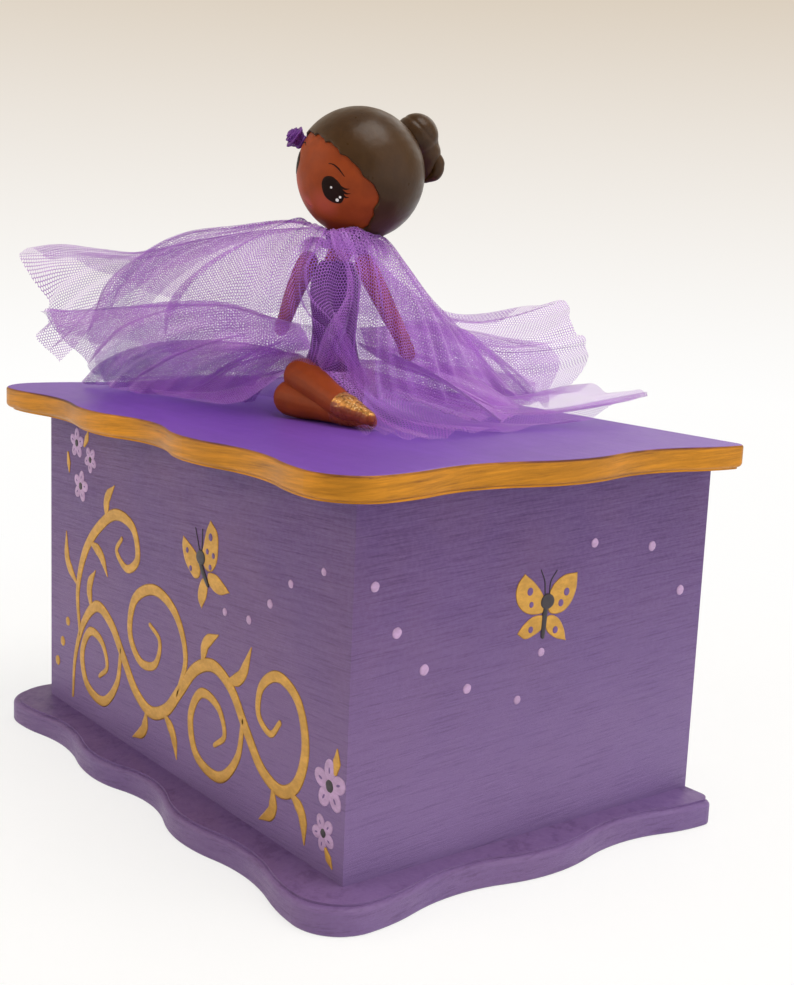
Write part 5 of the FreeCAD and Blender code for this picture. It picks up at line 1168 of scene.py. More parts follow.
NET_RIBS["net_middle"] = (
    ((13, -30.5, 154), (10, -35.5, 152.5), (5.5, -38.5, 149.5), (0.5, -40, 145.5), (-6, -39.8, 141),
     (-13.5, -37.5, 136.5), (-24, -33, 132.3)),
    ((10.4, -30.9, 159), (8.7, -38.1, 157.3), (4.1, -45.6, 154.4), (-4.6, -50.3, 150), (-18.2, -51.6, 144.3),
     (-36, -49, 138.2), (-53, -47, 132.3)),
    ((7.1, -30.4, 160.4), (3.2, -38.6, 160.5), (-3.7, -49.2, 159.7), (-15.5, -57.9, 155.9),
     (-31.8, -62.7, 149.8), (-53.2, -60.9, 142.5), (-80.4, -56.9, 133.8)),
    ((4.1, -29.2, 161.2), (-0.8, -37.3, 163.2), (-10.8, -48.6, 166.2), (-25.2, -60.7, 164.6),
     (-40.8, -71.1, 158.1), (-55.1, -73.2, 149.7), (-69.2, -71.9, 141.9)),
    ((1.6, -27.6, 161.4), (-7.2, -34.1, 163.1), (-21, -43.8, 166.6), (-37.9, -55.9, 165.9),
     (-55.1, -68.3, 164.4), (-68.4, -77.4, 162.8), (-79.4, -85, 162.1)),
    ((-0.7, -25.7, 161.2), (-11.9, -30.3, 162.5), (-28.6, -37.2, 164.8), (-47.3, -46.7, 162.9),
     (-65.5, -57.2, 159.1), (-79, -65, 155.6), (-90, -71, 150.4)),
    ((-3, -22.1, 160.7), (-15.8, -22.4, 160.8), (-34.3, -23.3, 160.2), (-54.1, -26.2, 156.6),
     (-73.3, -28.1, 152.5), (-88.2, -29.4, 148.6), (-100.6, -30.7, 144.9)),
    ((-2.9, -17.1, 160.3), (-17.5, -11.5, 159.2), (-35.4, -5.2, 156.4), (-54, 0.2, 152.3),
     (-70.4, 5.2, 148.6), (-83.3, 9.7, 144.6), (-92.5, 12.5, 141.3)),
    ((-0.2, -11.9, 159.8), (-12.6, -1.8, 158.1), (-26.4, 9.7, 154.8), (-40.2, 21.4, 150.9), (-52.2, 32, 147),
     (-60.1, 39.8, 143.8), (-66.4, 46.4, 140.7)),
    ((4.7, -8.9, 160.2), (-2.8, 4.3, 158.8), (-9.2, 19, 156.8), (-15.3, 34, 154), (-19.5, 48.2, 151.2),
     (-22.2, 61, 149.3), (-23.5, 72.5, 147.4)),
    ((8.8, -8.5, 160.5), (6.4, 4.8, 160.9), (5, 19.3, 161.1), (4.2, 34.7, 160.3), (4.8, 50.2, 158.1),
     (6.9, 66, 155.1), (10.6, 82.3, 153)),
    ((11.9, -9.4, 160), (11.9, 2.1, 160.7), (12.7, 14.7, 160), (14, 29.3, 156.4), (16.7, 44.3, 150.7),
     (18.8, 58.6, 143.3), (19.7, 73.6, 134)),
    ((13.7, -10.3, 159.8), (15.4, -1.5, 161.6), (17.7, 8, 163.1), (19.7, 18.8, 162.2), (21.7, 31.1, 158.5),
     (23.9, 47.1, 145.6), (19.7, 66.6, 133.5)),
    ((17, -12.6, 159.1), (20.3, -5, 158.6), (23.8, 4.4, 156.8), (27.1, 15.2, 152.8), (29.8, 26.9, 146.6),
     (30.3, 39, 139.6), (24.5, 55.2, 133)),
    ((20.3, -13, 154), (25.5, -7.5, 150), (30, -1.5, 147.5), (34.5, 6, 145), (38, 15.5, 141),
     (40, 26, 136.5), (43, 34, 132.5)),
    ((22.3, -18.8, 157), (28.5, -16.2, 155.5), (34.5, -12.5, 153.5), (40.5, -7, 150), (46, 0, 145),
     (51, 7, 139), (58, 14, 132.5)),
)
NET_RIBS["net_lower"] = (
    ((4, -26, 150), (0.6, -28.9, 147.7), (-3.7, -31.3, 144.6), (-8.5, -32.6, 141.1), (-13.2, -32.8, 137.4),
     (-17.4, -32.6, 134.2), (-20.2, -32.4, 131.7)),
    ((3, -27.5, 151), (-1.3, -31.4, 150), (-7.4, -35.1, 147.8), (-14.5, -37.9, 144.4), (-22.4, -39.1, 139.8),
     (-29.9, -39, 135.1), (-34.5, -39.1, 131.7)),
    ((1.8, -28.2, 151.5), (-3.6, -32.8, 151.5), (-11.6, -38.2, 150.9), (-21.6, -42.9, 148.3),
     (-33.7, -45.5, 143.4), (-45.7, -46.4, 136.8), (-52.9, -47.3, 131.7)),
    ((1.4, -28, 151), (-4.9, -34.4, 152.4), (-15, -41, 153), (-27.4, -47.2, 151.3), (-43.1, -51.2, 146.5),
     (-59.8, -53.1, 138.8), (-71.4, -54, 131.7)),
    ((1.6, -27.6, 150.3), (-5.8, -33.9, 152.7), (-17.6, -41, 153.5), (-33.1, -48, 152.6),
     (-52.6, -53.7, 148.9), (-74.9, -56.4, 141.1), (-89.7, -57.3, 131.7)),
    ((-0.7, -25.7, 150.2), (-10.8, -32.3, 151.5), (-25.8, -38.5, 151.7), (-45, -45.4, 150.5),
     (-66.3, -51.8, 147.3), (-87.3, -56, 141), (-96.4, -60.4, 133)),
    ((-3, -22.1, 149.9), (-15.4, -22.3, 148.9), (-32.8, -23.2, 147.5), (-51, -25.8, 144.6),
     (-67.8, -27.5, 141.8), (-80.1, -28.5, 139.4), (-89.6, -29.5, 134)),
    ((-2.9, -17.1, 149.6), (-17.1, -11.6, 148), (-33.9, -5.7, 145.4), (-50.8, -0.7, 142.4), (-65, 3.6, 140),
     (-75.6, 7.3, 137.6), (-82.3, 9.4, 135.9)),
    ((-0.2, -11.9, 149.3), (-12.2, -2.1, 147.3), (-25.2, 8.8, 144.6), (-37.7, 19.4, 141.8),
     (-48.1, 28.6, 139.2), (-54.3, 34.9, 137.3), (-58.8, 39.8, 135.6)),
    ((4.7, -8.9, 149.5), (-2.6, 3.9, 147.7), (-8.6, 17.7, 145.7), (-14, 31.4, 143.3), (-17.6, 43.7, 141.2),
     (-19.6, 54.4, 139.7), (-20.2, 63.3, 138.3)),
    ((8.8, -8.5, 149.7), (6.5, 4.4, 149), (5.1, 18, 148), (4.5, 32, 146.5), (5.1, 45.6, 144.4),
     (7.1, 58.9, 142.2), (10.5, 72.1, 140.5)),
    ((11.9, -9.4, 149.5), (11.8, 1.7, 148.8), (12.6, 13.5, 147.4), (13.7, 26.9, 144.6), (16.2, 40.1, 141),
     (18.1, 52.1, 137.1), (18.7, 64.4, 132.9)),
    ((13.7, -10.3, 149.3), (15.3, -1.8, 149.4), (17.4, 7.1, 149.1), (19.2, 16.9, 147.5), (20.8, 27.8, 144.6),
     (22.7, 41.6, 138), (18.7, 58, 132.7)),
    ((17, -12.6, 148.9), (20.1, -5.2, 147.6), (23.3, 3.7, 145.6), (26.2, 13.5, 142.7), (28.4, 23.8, 139),
     (28.5, 34.2, 135.4), (23, 47.8, 132.5)),
    ((19.8, -15.5, 148.2), (24.1, -9.7, 145.9), (28.4, -2.5, 143), (31.8, 5.2, 139.8), (33.7, 13.9, 136.5),
     (33.8, 23, 133.9), (36.9, 28.5, 132.3)),
    ((22.3, -18.8, 147.1), (26.9, -14.1, 144.1), (31.1, -8.4, 140.8), (34.3, -2.4, 137.6),
     (36.1, 4.7, 134.7), (37.1, 12.2, 132.3), (55.9, 3.9, 132.1)),
)
NET_RIBS["net_under"] = (
    ((2, -30, 147), (0, -40, 140), (-4, -44.5, 135.5), (-11, -47.5, 133), (-19, -49.5, 132.2),
     (-28, -51, 131.9), (-38, -52, 131.8)),
    ((1, -28, 147), (-10, -33, 143), (-22, -38, 139), (-34, -42, 136), (-46, -46, 134), (-58, -50, 132.5),
     (-70, -54, 131.8)),
    ((-2, -23, 147), (-16, -26, 143), (-32, -30, 140), (-50, -35, 138), (-68, -40, 136), (-86, -46, 134),
     (-99, -50, 132)),
    ((-2, -17, 147), (-18, -16, 143), (-36, -15, 140), (-54, -14, 137), (-72, -12, 135), (-88, -10, 133.5),
     (-102, -8, 132)),
    ((1, -11, 147), (-14, -4, 143), (-30, 5, 140), (-46, 14, 137), (-62, 22, 135), (-78, 30, 133),
     (-92, 38, 132)),
    ((6, -8, 147), (-4, 5, 143), (-16, 18, 140), (-28, 31, 137), (-40, 44, 135), (-50, 55, 133),
     (-60, 65, 132)),
    ((11, -7, 147), (6, 8, 143), (1, 23, 140), (-5, 38, 138), (-12, 52, 136), (-18, 64, 134),
     (-22, 73, 133.5)),
    ((16, -9, 147), (18, 5, 143), (20, 20, 139), (21, 35, 137), (20, 50, 136), (19, 63, 136.5),
     (18, 76, 137)),
    ((20, -12, 147), (26, 0, 143), (32, 14, 139), (37, 29, 136), (40, 46, 136), (41, 62, 138),
     (41, 82, 139.5)),
    ((22, -15, 147), (30, -5, 143), (38, 8, 138), (45, 24, 135), (50, 44, 134.5), (54, 64, 137),
     (57, 86, 140.5)),
    ((22, -18, 147), (31, -11.7, 142), (40.9, -2.7, 137), (50.8, 9, 134), (57.1, 23.4, 133),
     (60.7, 39.6, 133), (61.6, 54, 134)),
    ((22, -21, 147), (29.9, -17.7, 141), (39.2, -13.1, 136), (48.4, -7.8, 133), (56.3, -1.9, 132.2),
     (61.6, 4.1, 132), (65.6, 10, 131.8)),
    ((21, -24, 147), (29.1, -21.7, 141), (37.8, -19.9, 135.5), (47.1, -18.2, 132.6), (56.4, -17.6, 132),
     (63.3, -17.6, 131.8), (69.1, -18.2, 131.6)),
    ((19, -27, 147), (27.1, -25.4, 140), (35.7, -24.8, 135), (44.4, -25.4, 132.4), (53, -27, 131.9),
     (60.6, -29.2, 131.7), (67.1, -31.9, 131.6)),
    ((16, -29, 147), (23.3, -28.5, 140), (31.1, -29, 135), (37.8, -30, 132.4), (44.1, -32.1, 131.9),
     (49.3, -34.7, 131.7), (53.4, -37.3, 131.6)),
)
# Columns, rows, small pleats, CAD node and what it rests on
NET_LAYERS = {
    "net_under": (240, 36, 15, "skirt_under_layer", ("lid_board",)),
    "net_lower": (300, 40, 17, "skirt_middle_layer", ("net_under", "doll_bodice")),
    "net_middle": (340, 46, 14, "skirt_middle_layer", ("net_lower", "doll_bodice")),
    "net_far_wing": (340, 46, 12, "skirt_top_layer", ("doll_bodice", "net_middle")),
    "net_cape_left": (320, 56, 10, "skirt_top_layer", ("doll_bodice", "net_middle")),
    "net_cape_right": (280, 56, 11, "skirt_front_fall", ("doll_bodice", "net_middle")),
    "net_yoke": (360, 24, 24, "skirt_top_layer", ("doll_bodice", "choker_frill")),
}
# Plies across the gather and across the hem, or one row for both; below none fades the sheet out
NET_PLIES = {
    "net_under": ((1.3, 1.3, 1.3, 1.2, 1.0, 0.6),),
    "net_lower": ((1.8, 1.6, 1.4, 1.4, 1.8, 2.4),),
    "net_middle": ((1.8, 1.6, 1.1, 1.0, 1.3, 2.8),),
    "net_far_wing": ((1.0,),),
    "net_cape_left": ((1.0,), (1.4, 1.4, 1.6, 1.2, 1.0, 1.0, 1.0, 1.0, 1.0)),
    "net_cape_right": ((1.2, 1.1, 1.0), (1.3, 1.4, 1.7, 1.9, 1.8, 1.4, 1.0, 1.0, 1.0)),
    "net_yoke": ((1.2,), (-0.8,)),
}
# Folds laid over: place in ribs, width in ribs, first and last share of the rib
NET_FOLDS = {
    "net_under": ((2.2, 0.14, 0.2, 1.0), (9.0, 0.1, 0.3, 1.0), (12.3, 0.14, 0.3, 1.0)),
    "net_lower": ((1.4, 0.12, 0.1, 1.0), (11.3, 0.1, 0.2, 1.0), (12.6, 0.12, 0.2, 1.0),
                  (13.8, 0.14, 0.1, 1.0)),
    "net_middle": ((0.8, 0.14, 0.1, 0.9), (1.7, 0.12, 0.1, 1.0), (3.0, 0.12, 0.2, 1.0), (4.0, 0.1, 0.1, 1.0),
                   (10.0, 0.08, 0.2, 1.0), (12.0, 0.1, 0.2, 1.0), (13.4, 0.14, 0.1, 1.0),
                   (14.4, 0.14, 0.1, 0.9)),
    "net_far_wing": ((0.5, 0.1, 0.3, 1.0), (3.0, 0.07, 0.2, 1.0), (7.4, 0.1, 0.2, 1.0),
                     (10.0, 0.07, 0.3, 1.0), (12.0, 0.12, 0.3, 1.0)),
    "net_cape_left": ((1.12, 0.13, 0.05, 1.0), (1.62, 0.12, 0.0, 0.8), (2.9, 0.09, 0.0, 0.5),
                      (4.0, 0.2, 0.03, 0.8), (6.0, 0.09, 0.0, 1.0)),
    "net_cape_right": ((0.14, 0.13, 0.05, 1.0), (1.15, 0.14, 0.0, 1.0), (2.3, 0.1, 0.0, 0.6),
                       (4.2, 0.08, 0.0, 0.5)),
    "net_yoke": (),
}
# Distance from the neck and height of each station of the yoke, in millimetres
YOKE_STATIONS = ((7.6, -2.2), (9.2, 0.2), (11.2, 0.6), (13.0, -0.9), (14.2, -3.6), (15.0, -7.0))
YOKE_RIBS = 20
YOKE_START, YOKE_TURN = 120, 380
FOLD_OVER = 2.3
FOLD_GAP = 0.9 * MM
GATHER_RADIUS = 9.0 * MM
FULLEST = 3.6
YOKE_FULLNESS = 2.6
YOKE_REACH = 9.0 * MM
HEAD_CLEARANCE = 1.1 * MM
# Part of the lid's top that carries the net: half its width, and its front and back
LID_HALF, LID_FRONT, LID_BACK = 0.1155, -0.0905, 0.0735
CUT_PERCENTILE = 75
NET_SEED, NET_SEED_STEP = 11, 3
# Least height of the first sheet over the lid, and of each sheet over the one before, in millimetres
LOWEST_NET, NET_STEP = 0.4, 0.3
# Turn in degrees and shift in cells of each net laid over the last
NET_TURNS = ((0.0, 0.0), (34.0, 0.37), (-23.0, 0.71))
PLY_CLEARNESS = 0.8
# Colour of the specks of painted highlight on the threads
NET_PAINTED_SPARKLE = (0.86, 0.76, 0.92)


def net_finish(look):
    """Six-sided net with open cells, more threads across where it is gathered, and specks of painted
    highlight.
    """
    made, tree, shader = material("purple_net", Roughness=0.42, Sheen_Weight=0.3, Sheen_Roughness=0.4)
    flat = tree.add("ShaderNodeUVMap", uv_map="cut").outputs[0]
    fullness = tree.add("ShaderNodeAttribute", attribute_name="fullness").outputs["Fac"]
    spare = tree.minus(fullness, float(len(NET_TURNS)))
    clear = tree.math("POWER", PLY_CLEARNESS, tree.math("MAXIMUM", spare, 0.0))
    for ply, (turn, shift) in enumerate(NET_TURNS):
        moved = (shift * look.cell, 0.6 * shift * look.cell, 0.0)
        laid = tree.add("ShaderNodeMapping", {"Vector": flat, "Location": moved,
                                              "Rotation": (0.0, 0.0, math.radians(turn))}).outputs[0]
        threads = tree.effect("net", laid, look.cell, Thread=look.thread)["Thread"]
        share = tree.minus(fullness, float(ply), clamp=True)
        clear = tree.times(clear, tree.minus(1.0, tree.times(threads, share)))
    patch = tree.effect("mottle", flat, 40.0)["Mask"]
    tone = tree.mix(patch, shade(look.colour, 0.85), shade(look.colour, 1.15))
    # Painted highlight: pale specks in the thread colour stand in for sparkles of reflected light
    painted_sparkle = tree.spread(tree.noise(flat, 1500.0, 1.0), 0.66, 0.74)
    coat(tree, shader, Base_Color=tree.mix(tree.times(painted_sparkle, 0.5), tone, rgb(NET_PAINTED_SPARKLE)),
         Alpha=tree.minus(1.0, clear))
    return made


def clear_of(points, centre, radius):
    """Points moved out of a ball."""
    away = points - centre
    far = np.linalg.norm(away, axis=1)
    inside = far < radius
    points[inside] = centre + away[inside] / far[inside][:, None] * radius
    return points


def along_keys(keys, at):
    """Points at places on a smooth curve through evenly numbered keys."""
    padded = np.concatenate([2 * keys[:1] - keys[1:2], keys, 2 * keys[-1:] - keys[-2:-1]])
    first = np.clip(np.floor(at).astype(int), 0, len(keys) - 2)
    t = (at - first).reshape((-1,) + (1,) * (keys.ndim - 1))
    before, start, end, after = (padded[first + k] for k in range(4))
    bend = 2 * before - 5 * start + 4 * end - after
    twist = 3 * start - before - 3 * end + after
    return 0.5 * (2 * start + (end - before) * t + bend * t ** 2 + twist * t ** 3)


def yoke_ribs():
    """Ribs of the short collar round the neck, lapped at her back."""
    low, high = (np.array(c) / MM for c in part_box("neck_choker"))
    x, y, z = (low + high) / 2
    ribs = []
    for k in range(YOKE_RIBS):
        a = math.radians(YOKE_START + YOKE_TURN * k / (YOKE_RIBS - 1))
        ribs.append([(x + r * math.cos(a), y + r * math.sin(a), z + rise) for r, rise in YOKE_STATIONS])
    return ribs


def fold_strength(share, first, last):
    """How far a fold is formed at a share of the rib, easing in after its first and out round its last."""
    return min(1.0, max(0.0, (share - first) / 0.12)) * min(1.0, max(0.0, (last + 0.1 - share) / 0.2))


def net_points(ribs, columns, rows, folds, pleats, ripple, seed):
    """A grid of points on a sheet through its ribs, with folds laid over and small pleats."""
    ribs = mm(ribs)
    count, stations = ribs.shape[:2]
    lines = along_keys(ribs.transpose(1, 0, 2), np.linspace(0, stations - 1, rows))
    place = np.linspace(0, count - 1, columns)
    base = np.stack([along_keys(line, place) for line in lines])
    normal = np.cross(np.gradient(base, axis=1), np.gradient(base, axis=0))
    normal /= np.maximum(np.linalg.norm(normal, axis=2), 1e-9)[:, :, None]
    draw = np.random.default_rng(seed)
    wave = np.zeros(columns)
    for k in range(4):
        turns = pleats * (0.5 + 0.45 * k) * place / (count - 1) + draw.uniform()
        wave += np.sin(2 * math.pi * turns) * 0.88 ** k
    drift = smooth_noise(base.reshape(-1, 3), 60.0, seed + 1).reshape(rows, columns)
    points = np.zeros_like(base)
    for i, share in enumerate(np.linspace(0, 1, rows)):
        at, lift = place.copy(), np.zeros(columns)
        for rib, width, first, last in folds:
            gap = (place - rib) / width
            bell = fold_strength(share, first, last) * gap * np.exp(-gap ** 2)
            at -= FOLD_OVER * width * bell
            lift += FOLD_GAP * bell
        lift += ripple * min(1.0, 1.1 * share) ** 1.1 * (wave / 2.4 + 0.7 * drift[i])
        points[i] = along_keys(lines[i], at) + normal[i] * lift[:, None]
    return points


def net_sheet(name, points, plies, finish, level):
    """A net sheet cut like part of a ring and gathered at its first row, with its hem, rib and area."""
    rows, columns = points.shape[:2]
    flat = clear_of(points.reshape(-1, 3), HEAD_CENTRE, HEAD_RADIUS + HEAD_CLEARANCE)
    low = LID_TOP + level
    over_lid = (np.abs(flat[:, 0]) < LID_HALF) & (flat[:, 1] > LID_FRONT) & (flat[:, 1] < LID_BACK)
    flat[over_lid & (flat[:, 2] < low), 2] = low
    points = flat.reshape(rows, columns, 3)
    mesh = bpy.data.meshes.new(name)
    mesh.from_pydata([tuple(p) for p in flat], [], grid_faces(rows, columns))
    mesh.polygons.foreach_set("use_smooth", [True] * len(mesh.polygons))
    wide = np.linalg.norm(np.diff(points, axis=1), axis=2)
    wide = np.concatenate([wide, wide[:, -1:]], axis=1)
    step = np.linalg.norm(np.diff(points, axis=0), axis=2)
    reach = GATHER_RADIUS + np.concatenate([np.zeros((1, columns)), np.cumsum(step, axis=0)])
    turn = np.percentile(wide / reach, CUT_PERCENTILE, axis=0)
    angle = np.cumsum(turn) - turn
    levels = [taper(columns, np.linspace(0, 1, len(row)), row) for row in plies]
    down = np.linspace(0, 1, rows)[:, None]
    laid = levels[0] * (1 - down) + levels[-1] * down
    full = np.clip(laid + YOKE_FULLNESS * np.exp((GATHER_RADIUS - reach) / YOKE_REACH), 0, FULLEST)
    index = np.zeros(len(mesh.loops), int)
    mesh.loops.foreach_get("vertex_index", index)
    cut = np.stack([reach * np.sin(angle)[None], reach * np.cos(angle)[None]], axis=2).reshape(-1, 2)
    mesh.uv_layers.new(name="cut").data.foreach_set("uv", cut[index].astype(np.float32).ravel())
    fullness = mesh.attributes.new("fullness", "FLOAT", "POINT")
    fullness.data.foreach_set("value", full.astype(np.float32).ravel())
    mesh.update()
    sheet = add_object(name, mesh, finish, "lid")
    sheet.visible_shadow = False
    area = sum(face.area for face in mesh.polygons)
    return sheet, float((turn * reach[-1]).sum()), float((reach[-1] - GATHER_RADIUS).mean()), area


class JEWEL_OT_net_skirt(bpy.types.Operator):
    """Gather the sheets of net round the doll"""

    bl_idname = "jewel.net_skirt"
    bl_label = "Net skirt"

    def execute(self, context):
        look = settings().net
        finish = net_finish(look)
        for order, (name, (columns, rows, pleats, node, rests)) in enumerate(NET_LAYERS.items()):
            ribs = NET_RIBS[name] if name in NET_RIBS else yoke_ribs()
            seed = NET_SEED + NET_SEED_STEP * order
            points = net_points(ribs, columns, rows, NET_FOLDS[name], pleats, look.ripple, seed)
            level = (LOWEST_NET + NET_STEP * order) * MM
            sheet, wide, long, area = net_sheet(name, points, NET_PLIES[name], finish, level)
            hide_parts(node)
            list(rests)
        return {"FINISHED"}


# Painted ornament

# Each butterfly's head on its wall, wings from their tips, spots, tail and feelers, in millimetres
SIDE_BUTTERFLY = (
    (0.8, 83.7),
    (((-9.7, 9.8), (-12.1, 7.2), (-13.0, 4.0), (-11.9, 0.3), (-8.9, -2.4), (-5.0, -3.6), (-0.9, -3.1),
      (-1.2, 1.4), (-5.2, 6.4)),
     ((12.6, 7.9), (7.3, 7.7), (3.2, 5.7), (0.9, 2.3), (1.1, -3.3), (3.8, -4.5), (7.7, -3.9), (10.7, -1.3),
      (12.5, 2.9)),
     ((-11.5, -8.9), (-10.1, -7.2), (-7.7, -5.3), (-5.0, -4.1), (-1.1, -4.5), (-1.1, -8.2), (-4.8, -10.3),
      (-8.2, -10.9)),
     ((9.3, -13.7), (8.2, -9.9), (5.6, -6.1), (2.2, -4.5), (0.3, -5.2), (0.6, -9.1), (4.4, -12.1))),
    ((-7.3, 4.0, 1.2), (-6.5, -0.2, 0.9), (8.1, 2.2, 1.2), (5.9, -1.1, 1.1), (-6.2, -8.1, 1.0),
     (4.2, -9.5, 1.1)),
    ((-0.4, -2.4), (-0.6, -5.0), (-0.8, -8.2), (-0.9, -10.9)),
    (((-0.8, 2.3), (-1.3, 6.5), (-3.1, 10.3)), ((1.0, 2.1), (1.3, 6.2), (3.6, 9.4))))
FRONT_BUTTERFLY = (
    (16.0, 87.9),
    (((-11.8, 5.0), (-12.4, 1.6), (-10.4, -3.1), (-7.5, -5.8), (-3.6, -7.8), (-0.6, -6.4), (-0.4, -2.2),
      (-2.8, 0.7), (-7.3, 3.1)),
     ((5.7, 13.3), (10.2, 9.8), (10.8, 4.6), (10.0, 0.1), (6.9, -3.3), (3.2, -3.4), (0.6, 0.2), (1.8, 4.9),
      (3.3, 9.6)),
     ((1.0, -16.9), (-1.2, -14.4), (-1.3, -11.1), (1.4, -6.6), (4.4, -7.5), (4.1, -12.1)),
     ((18.5, -7.7), (14.3, -5.4), (10.1, -3.7), (4.6, -4.4), (4.8, -7.0), (8.2, -9.2), (12.4, -9.7))),
    ((-8.6, 0.7, 0.9), (-6.2, -4.9, 0.9), (6.3, 7.8, 1.2), (4.4, 2.8, 0.9), (8.2, 2.1, 0.9),
     (6.3, -2.0, 0.9)),
    ((-0.4, -1.2), (0.8, -3.2), (2.4, -5.4), (4.8, -8.1)),
    (((-0.8, 1.8), (-2.2, 5.5), (-3.6, 9.0)), ((0.5, 2.0), (0.8, 6.0), (0.9, 9.4))))
TIP_SHARE = 0.1
TAIL_WIDTHS = (2.0, 2.3, 2.1, 1.6)
FEELER_WIDTHS = (0.45, 0.4, 0.3)
SPOT_PURPLE = (0.150, 0.070, 0.250)
# Dots on their walls, in millimetres
FRONT_DOTS = ((31.7, 73.5), (46.1, 74.4), (57.8, 82.2), (68.8, 90.8), (85.5, 98.0))
SIDE_DOTS = ((-65.2, 96.0), (-56.8, 81.6), (-46.3, 69.1), (-29.6, 60.7), (-9.1, 53.8), (-0.2, 67.7),
             (20.1, 100.2), (46.5, 96.6), (61.8, 80.1))
GOLD_DOTS = ((-84.7, 42.1), (-89.3, 33.1), (-93.9, 24.2))
# Place and size of each flower on the front in millimetres, and its turn
FLOWERS = ((-77.0, 112.0, 5.6, 0.3), (-65.6, 107.4, 4.8, 0.9), (-73.6, 96.4, 5.8, 0.1),
           (92.0, 36.4, 7.8, 0.35), (89.6, 21.2, 5.6, 0.8))
# Middle line and width of each gold bud on the front, in millimetres
BUDS = ((((-70.4, 112.2), (-68.6, 115.0), (-67.4, 117.6)), 3.4),
        (((-84.6, 107.0), (-84.0, 103.4), (-83.4, 100.2)), 3.2),
        (((94.6, 41.4), (95.0, 44.2), (95.2, 48.4)), 4.0), (((91.2, 16.6), (92.6, 14.4), (94.6, 12.2)), 3.4))
BUD_WIDTHS = np.array((0.5, 1.0, 0.15))
# Middle line and widths of each stroke of the vine on the front, in millimetres
VINE = (
    (((-80, 14), (-78, 30), (-70, 46), (-59, 54), (-48, 50), (-38, 40), (-28, 30), (-17, 26), (-6, 30),
      (4, 40), (14, 50), (25, 54), (36, 50), (46, 39), (56, 29), (67, 26), (75, 31), (79, 44), (74, 57),
      (63, 61), (54, 55), (53, 46), (60, 42), (65, 47)), (1.6, 4.4, 4.8, 4.8, 4.6, 4.6, 4.4, 3.6, 2.0)),
    (((-40, 42), (-43, 29), (-54, 19), (-68, 22), (-72, 33), (-65, 43), (-55, 41), (-51, 33), (-57, 28)),
     (2.4, 4.0, 4.0, 3.4, 1.8)),
    (((2, 38), (7, 52), (0, 65), (-15, 70), (-30, 63), (-33, 50), (-25, 42), (-14, 44), (-11, 53), (-18, 57)),
     (2.4, 4.0, 4.2, 3.4, 1.8)),
    (((44, 41), (41, 28), (30, 18), (15, 21), (11, 33), (18, 43), (29, 41), (33, 33), (27, 28)),
     (2.4, 4.0, 4.0, 3.4, 1.8)),
    (((-74, 40), (-76, 56), (-70, 72), (-58, 84), (-44, 91), (-31, 88), (-28, 78), (-36, 73), (-44, 78),
      (-40, 83)), (2.2, 4.4, 4.4, 3.6, 1.8)),
)
VINE_LEAVES = (
    ((-76, 58), (-85, 66), (-86, 77)), ((-66, 77), (-57, 74), (-51, 67)), ((-52, 87), (-52, 95), (-46, 101)),
    ((-20, 26), (-22, 18), (-30, 13)), ((-8, 29), (-1, 23), (2, 15)), ((18, 52), (20, 60), (28, 65)),
    ((33, 51), (42, 55), (48, 66)), ((62, 26.5), (62, 18), (55, 13)), ((71, 28), (78, 23), (80, 14)),
    ((-64, 51), (-66, 60), (-61, 67)))
LEAF_WIDTHS = (0.8, 4.6, 4.2, 0.5)


def front_place(x, z, height):
    """Flat wall coordinates on the front."""
    return np.array((x, FRONT_Y - height, z))


def side_place(y, z, height):
    """Flat wall coordinates on the right side."""
    return np.array((SIDE_X + height, y, z))


# Turn that stands a flat ornament up against its wall
WALL_TURNS = {front_place: (math.pi / 2, 0, 0), side_place: (math.pi / 2, 0, math.pi / 2)}


def paint_finish(name, colour, metallic=0.0):
    """Opaque craft paint with brush marks."""
    return worked(name, colour, "brush", (160.0, 160.0, 300.0), 120.0, (0.82, 1.16, 0.4, 0.78), 0.0002,
                  (0.7, 0.52, 0.36), Metallic=metallic)[0]


def petal_rings():
    """A geometry tree that sets rings of flattened petals on points, turned to stand on a wall."""
    group = bpy.data.node_groups.new("petal_rings", "GeometryNodeTree")
    kinds = {"Geometry": "Geometry", "Petals": "Int", "Ring Radius": "Float", "Petal Length": "Float",
             "Petal Width": "Float", "Height": "Float", "Wall Turn": "Vector", "Material": "Material"}
    for socket, kind in kinds.items():
        group.interface.new_socket(name=socket, in_out="INPUT", socket_type="NodeSocket" + kind)
    group.interface.new_socket(name="Geometry", in_out="OUTPUT", socket_type="NodeSocketGeometry")
    tree = Tree(group)
    given, out = tree.add("NodeGroupInput").outputs, tree.add("NodeGroupOutput").inputs
    ring = tree.add("GeometryNodeMeshCircle", {"Vertices": given["Petals"], "Radius": given["Ring Radius"]})
    step = tree.math("DIVIDE", 2 * math.pi, given["Petals"])
    angle = tree.times(tree.add("GeometryNodeInputIndex").outputs[0], step)
    petal = tree.add("GeometryNodeMeshUVSphere", {"Segments": 16, "Rings": 8, "Radius": 1.0})
    petals = tree.add("GeometryNodeInstanceOnPoints", {
        "Points": ring.outputs["Mesh"], "Instance": petal.outputs["Mesh"], "Rotation": tree.join(z=angle),
        "Scale": tree.join(given["Petal Length"], given["Petal Width"], given["Height"])})
    size, turn = (tree.add("GeometryNodeInputNamedAttribute", {"Name": name}, data_type="FLOAT").outputs[0]
                  for name in ("size", "turn"))
    flat = tree.add("GeometryNodeInstanceOnPoints", {
        "Points": given["Geometry"], "Instance": petals.outputs["Instances"], "Rotation": given["Wall Turn"],
        "Scale": tree.join(size, size, 1.0)})
    turned = tree.add("GeometryNodeRotateInstances", {
        "Instances": flat.outputs[0], "Rotation": tree.join(z=turn), "Local Space": True})
    real = tree.add("GeometryNodeRealizeInstances", {0: turned.outputs[0]})
    smooth = tree.add("GeometryNodeSetShadeSmooth", {0: real.outputs[0]})
    painted = tree.add("GeometryNodeSetMaterial", {0: smooth.outputs[0], "Material": given["Material"]})
    tree.feed(out[0], painted.outputs[0])
    return group


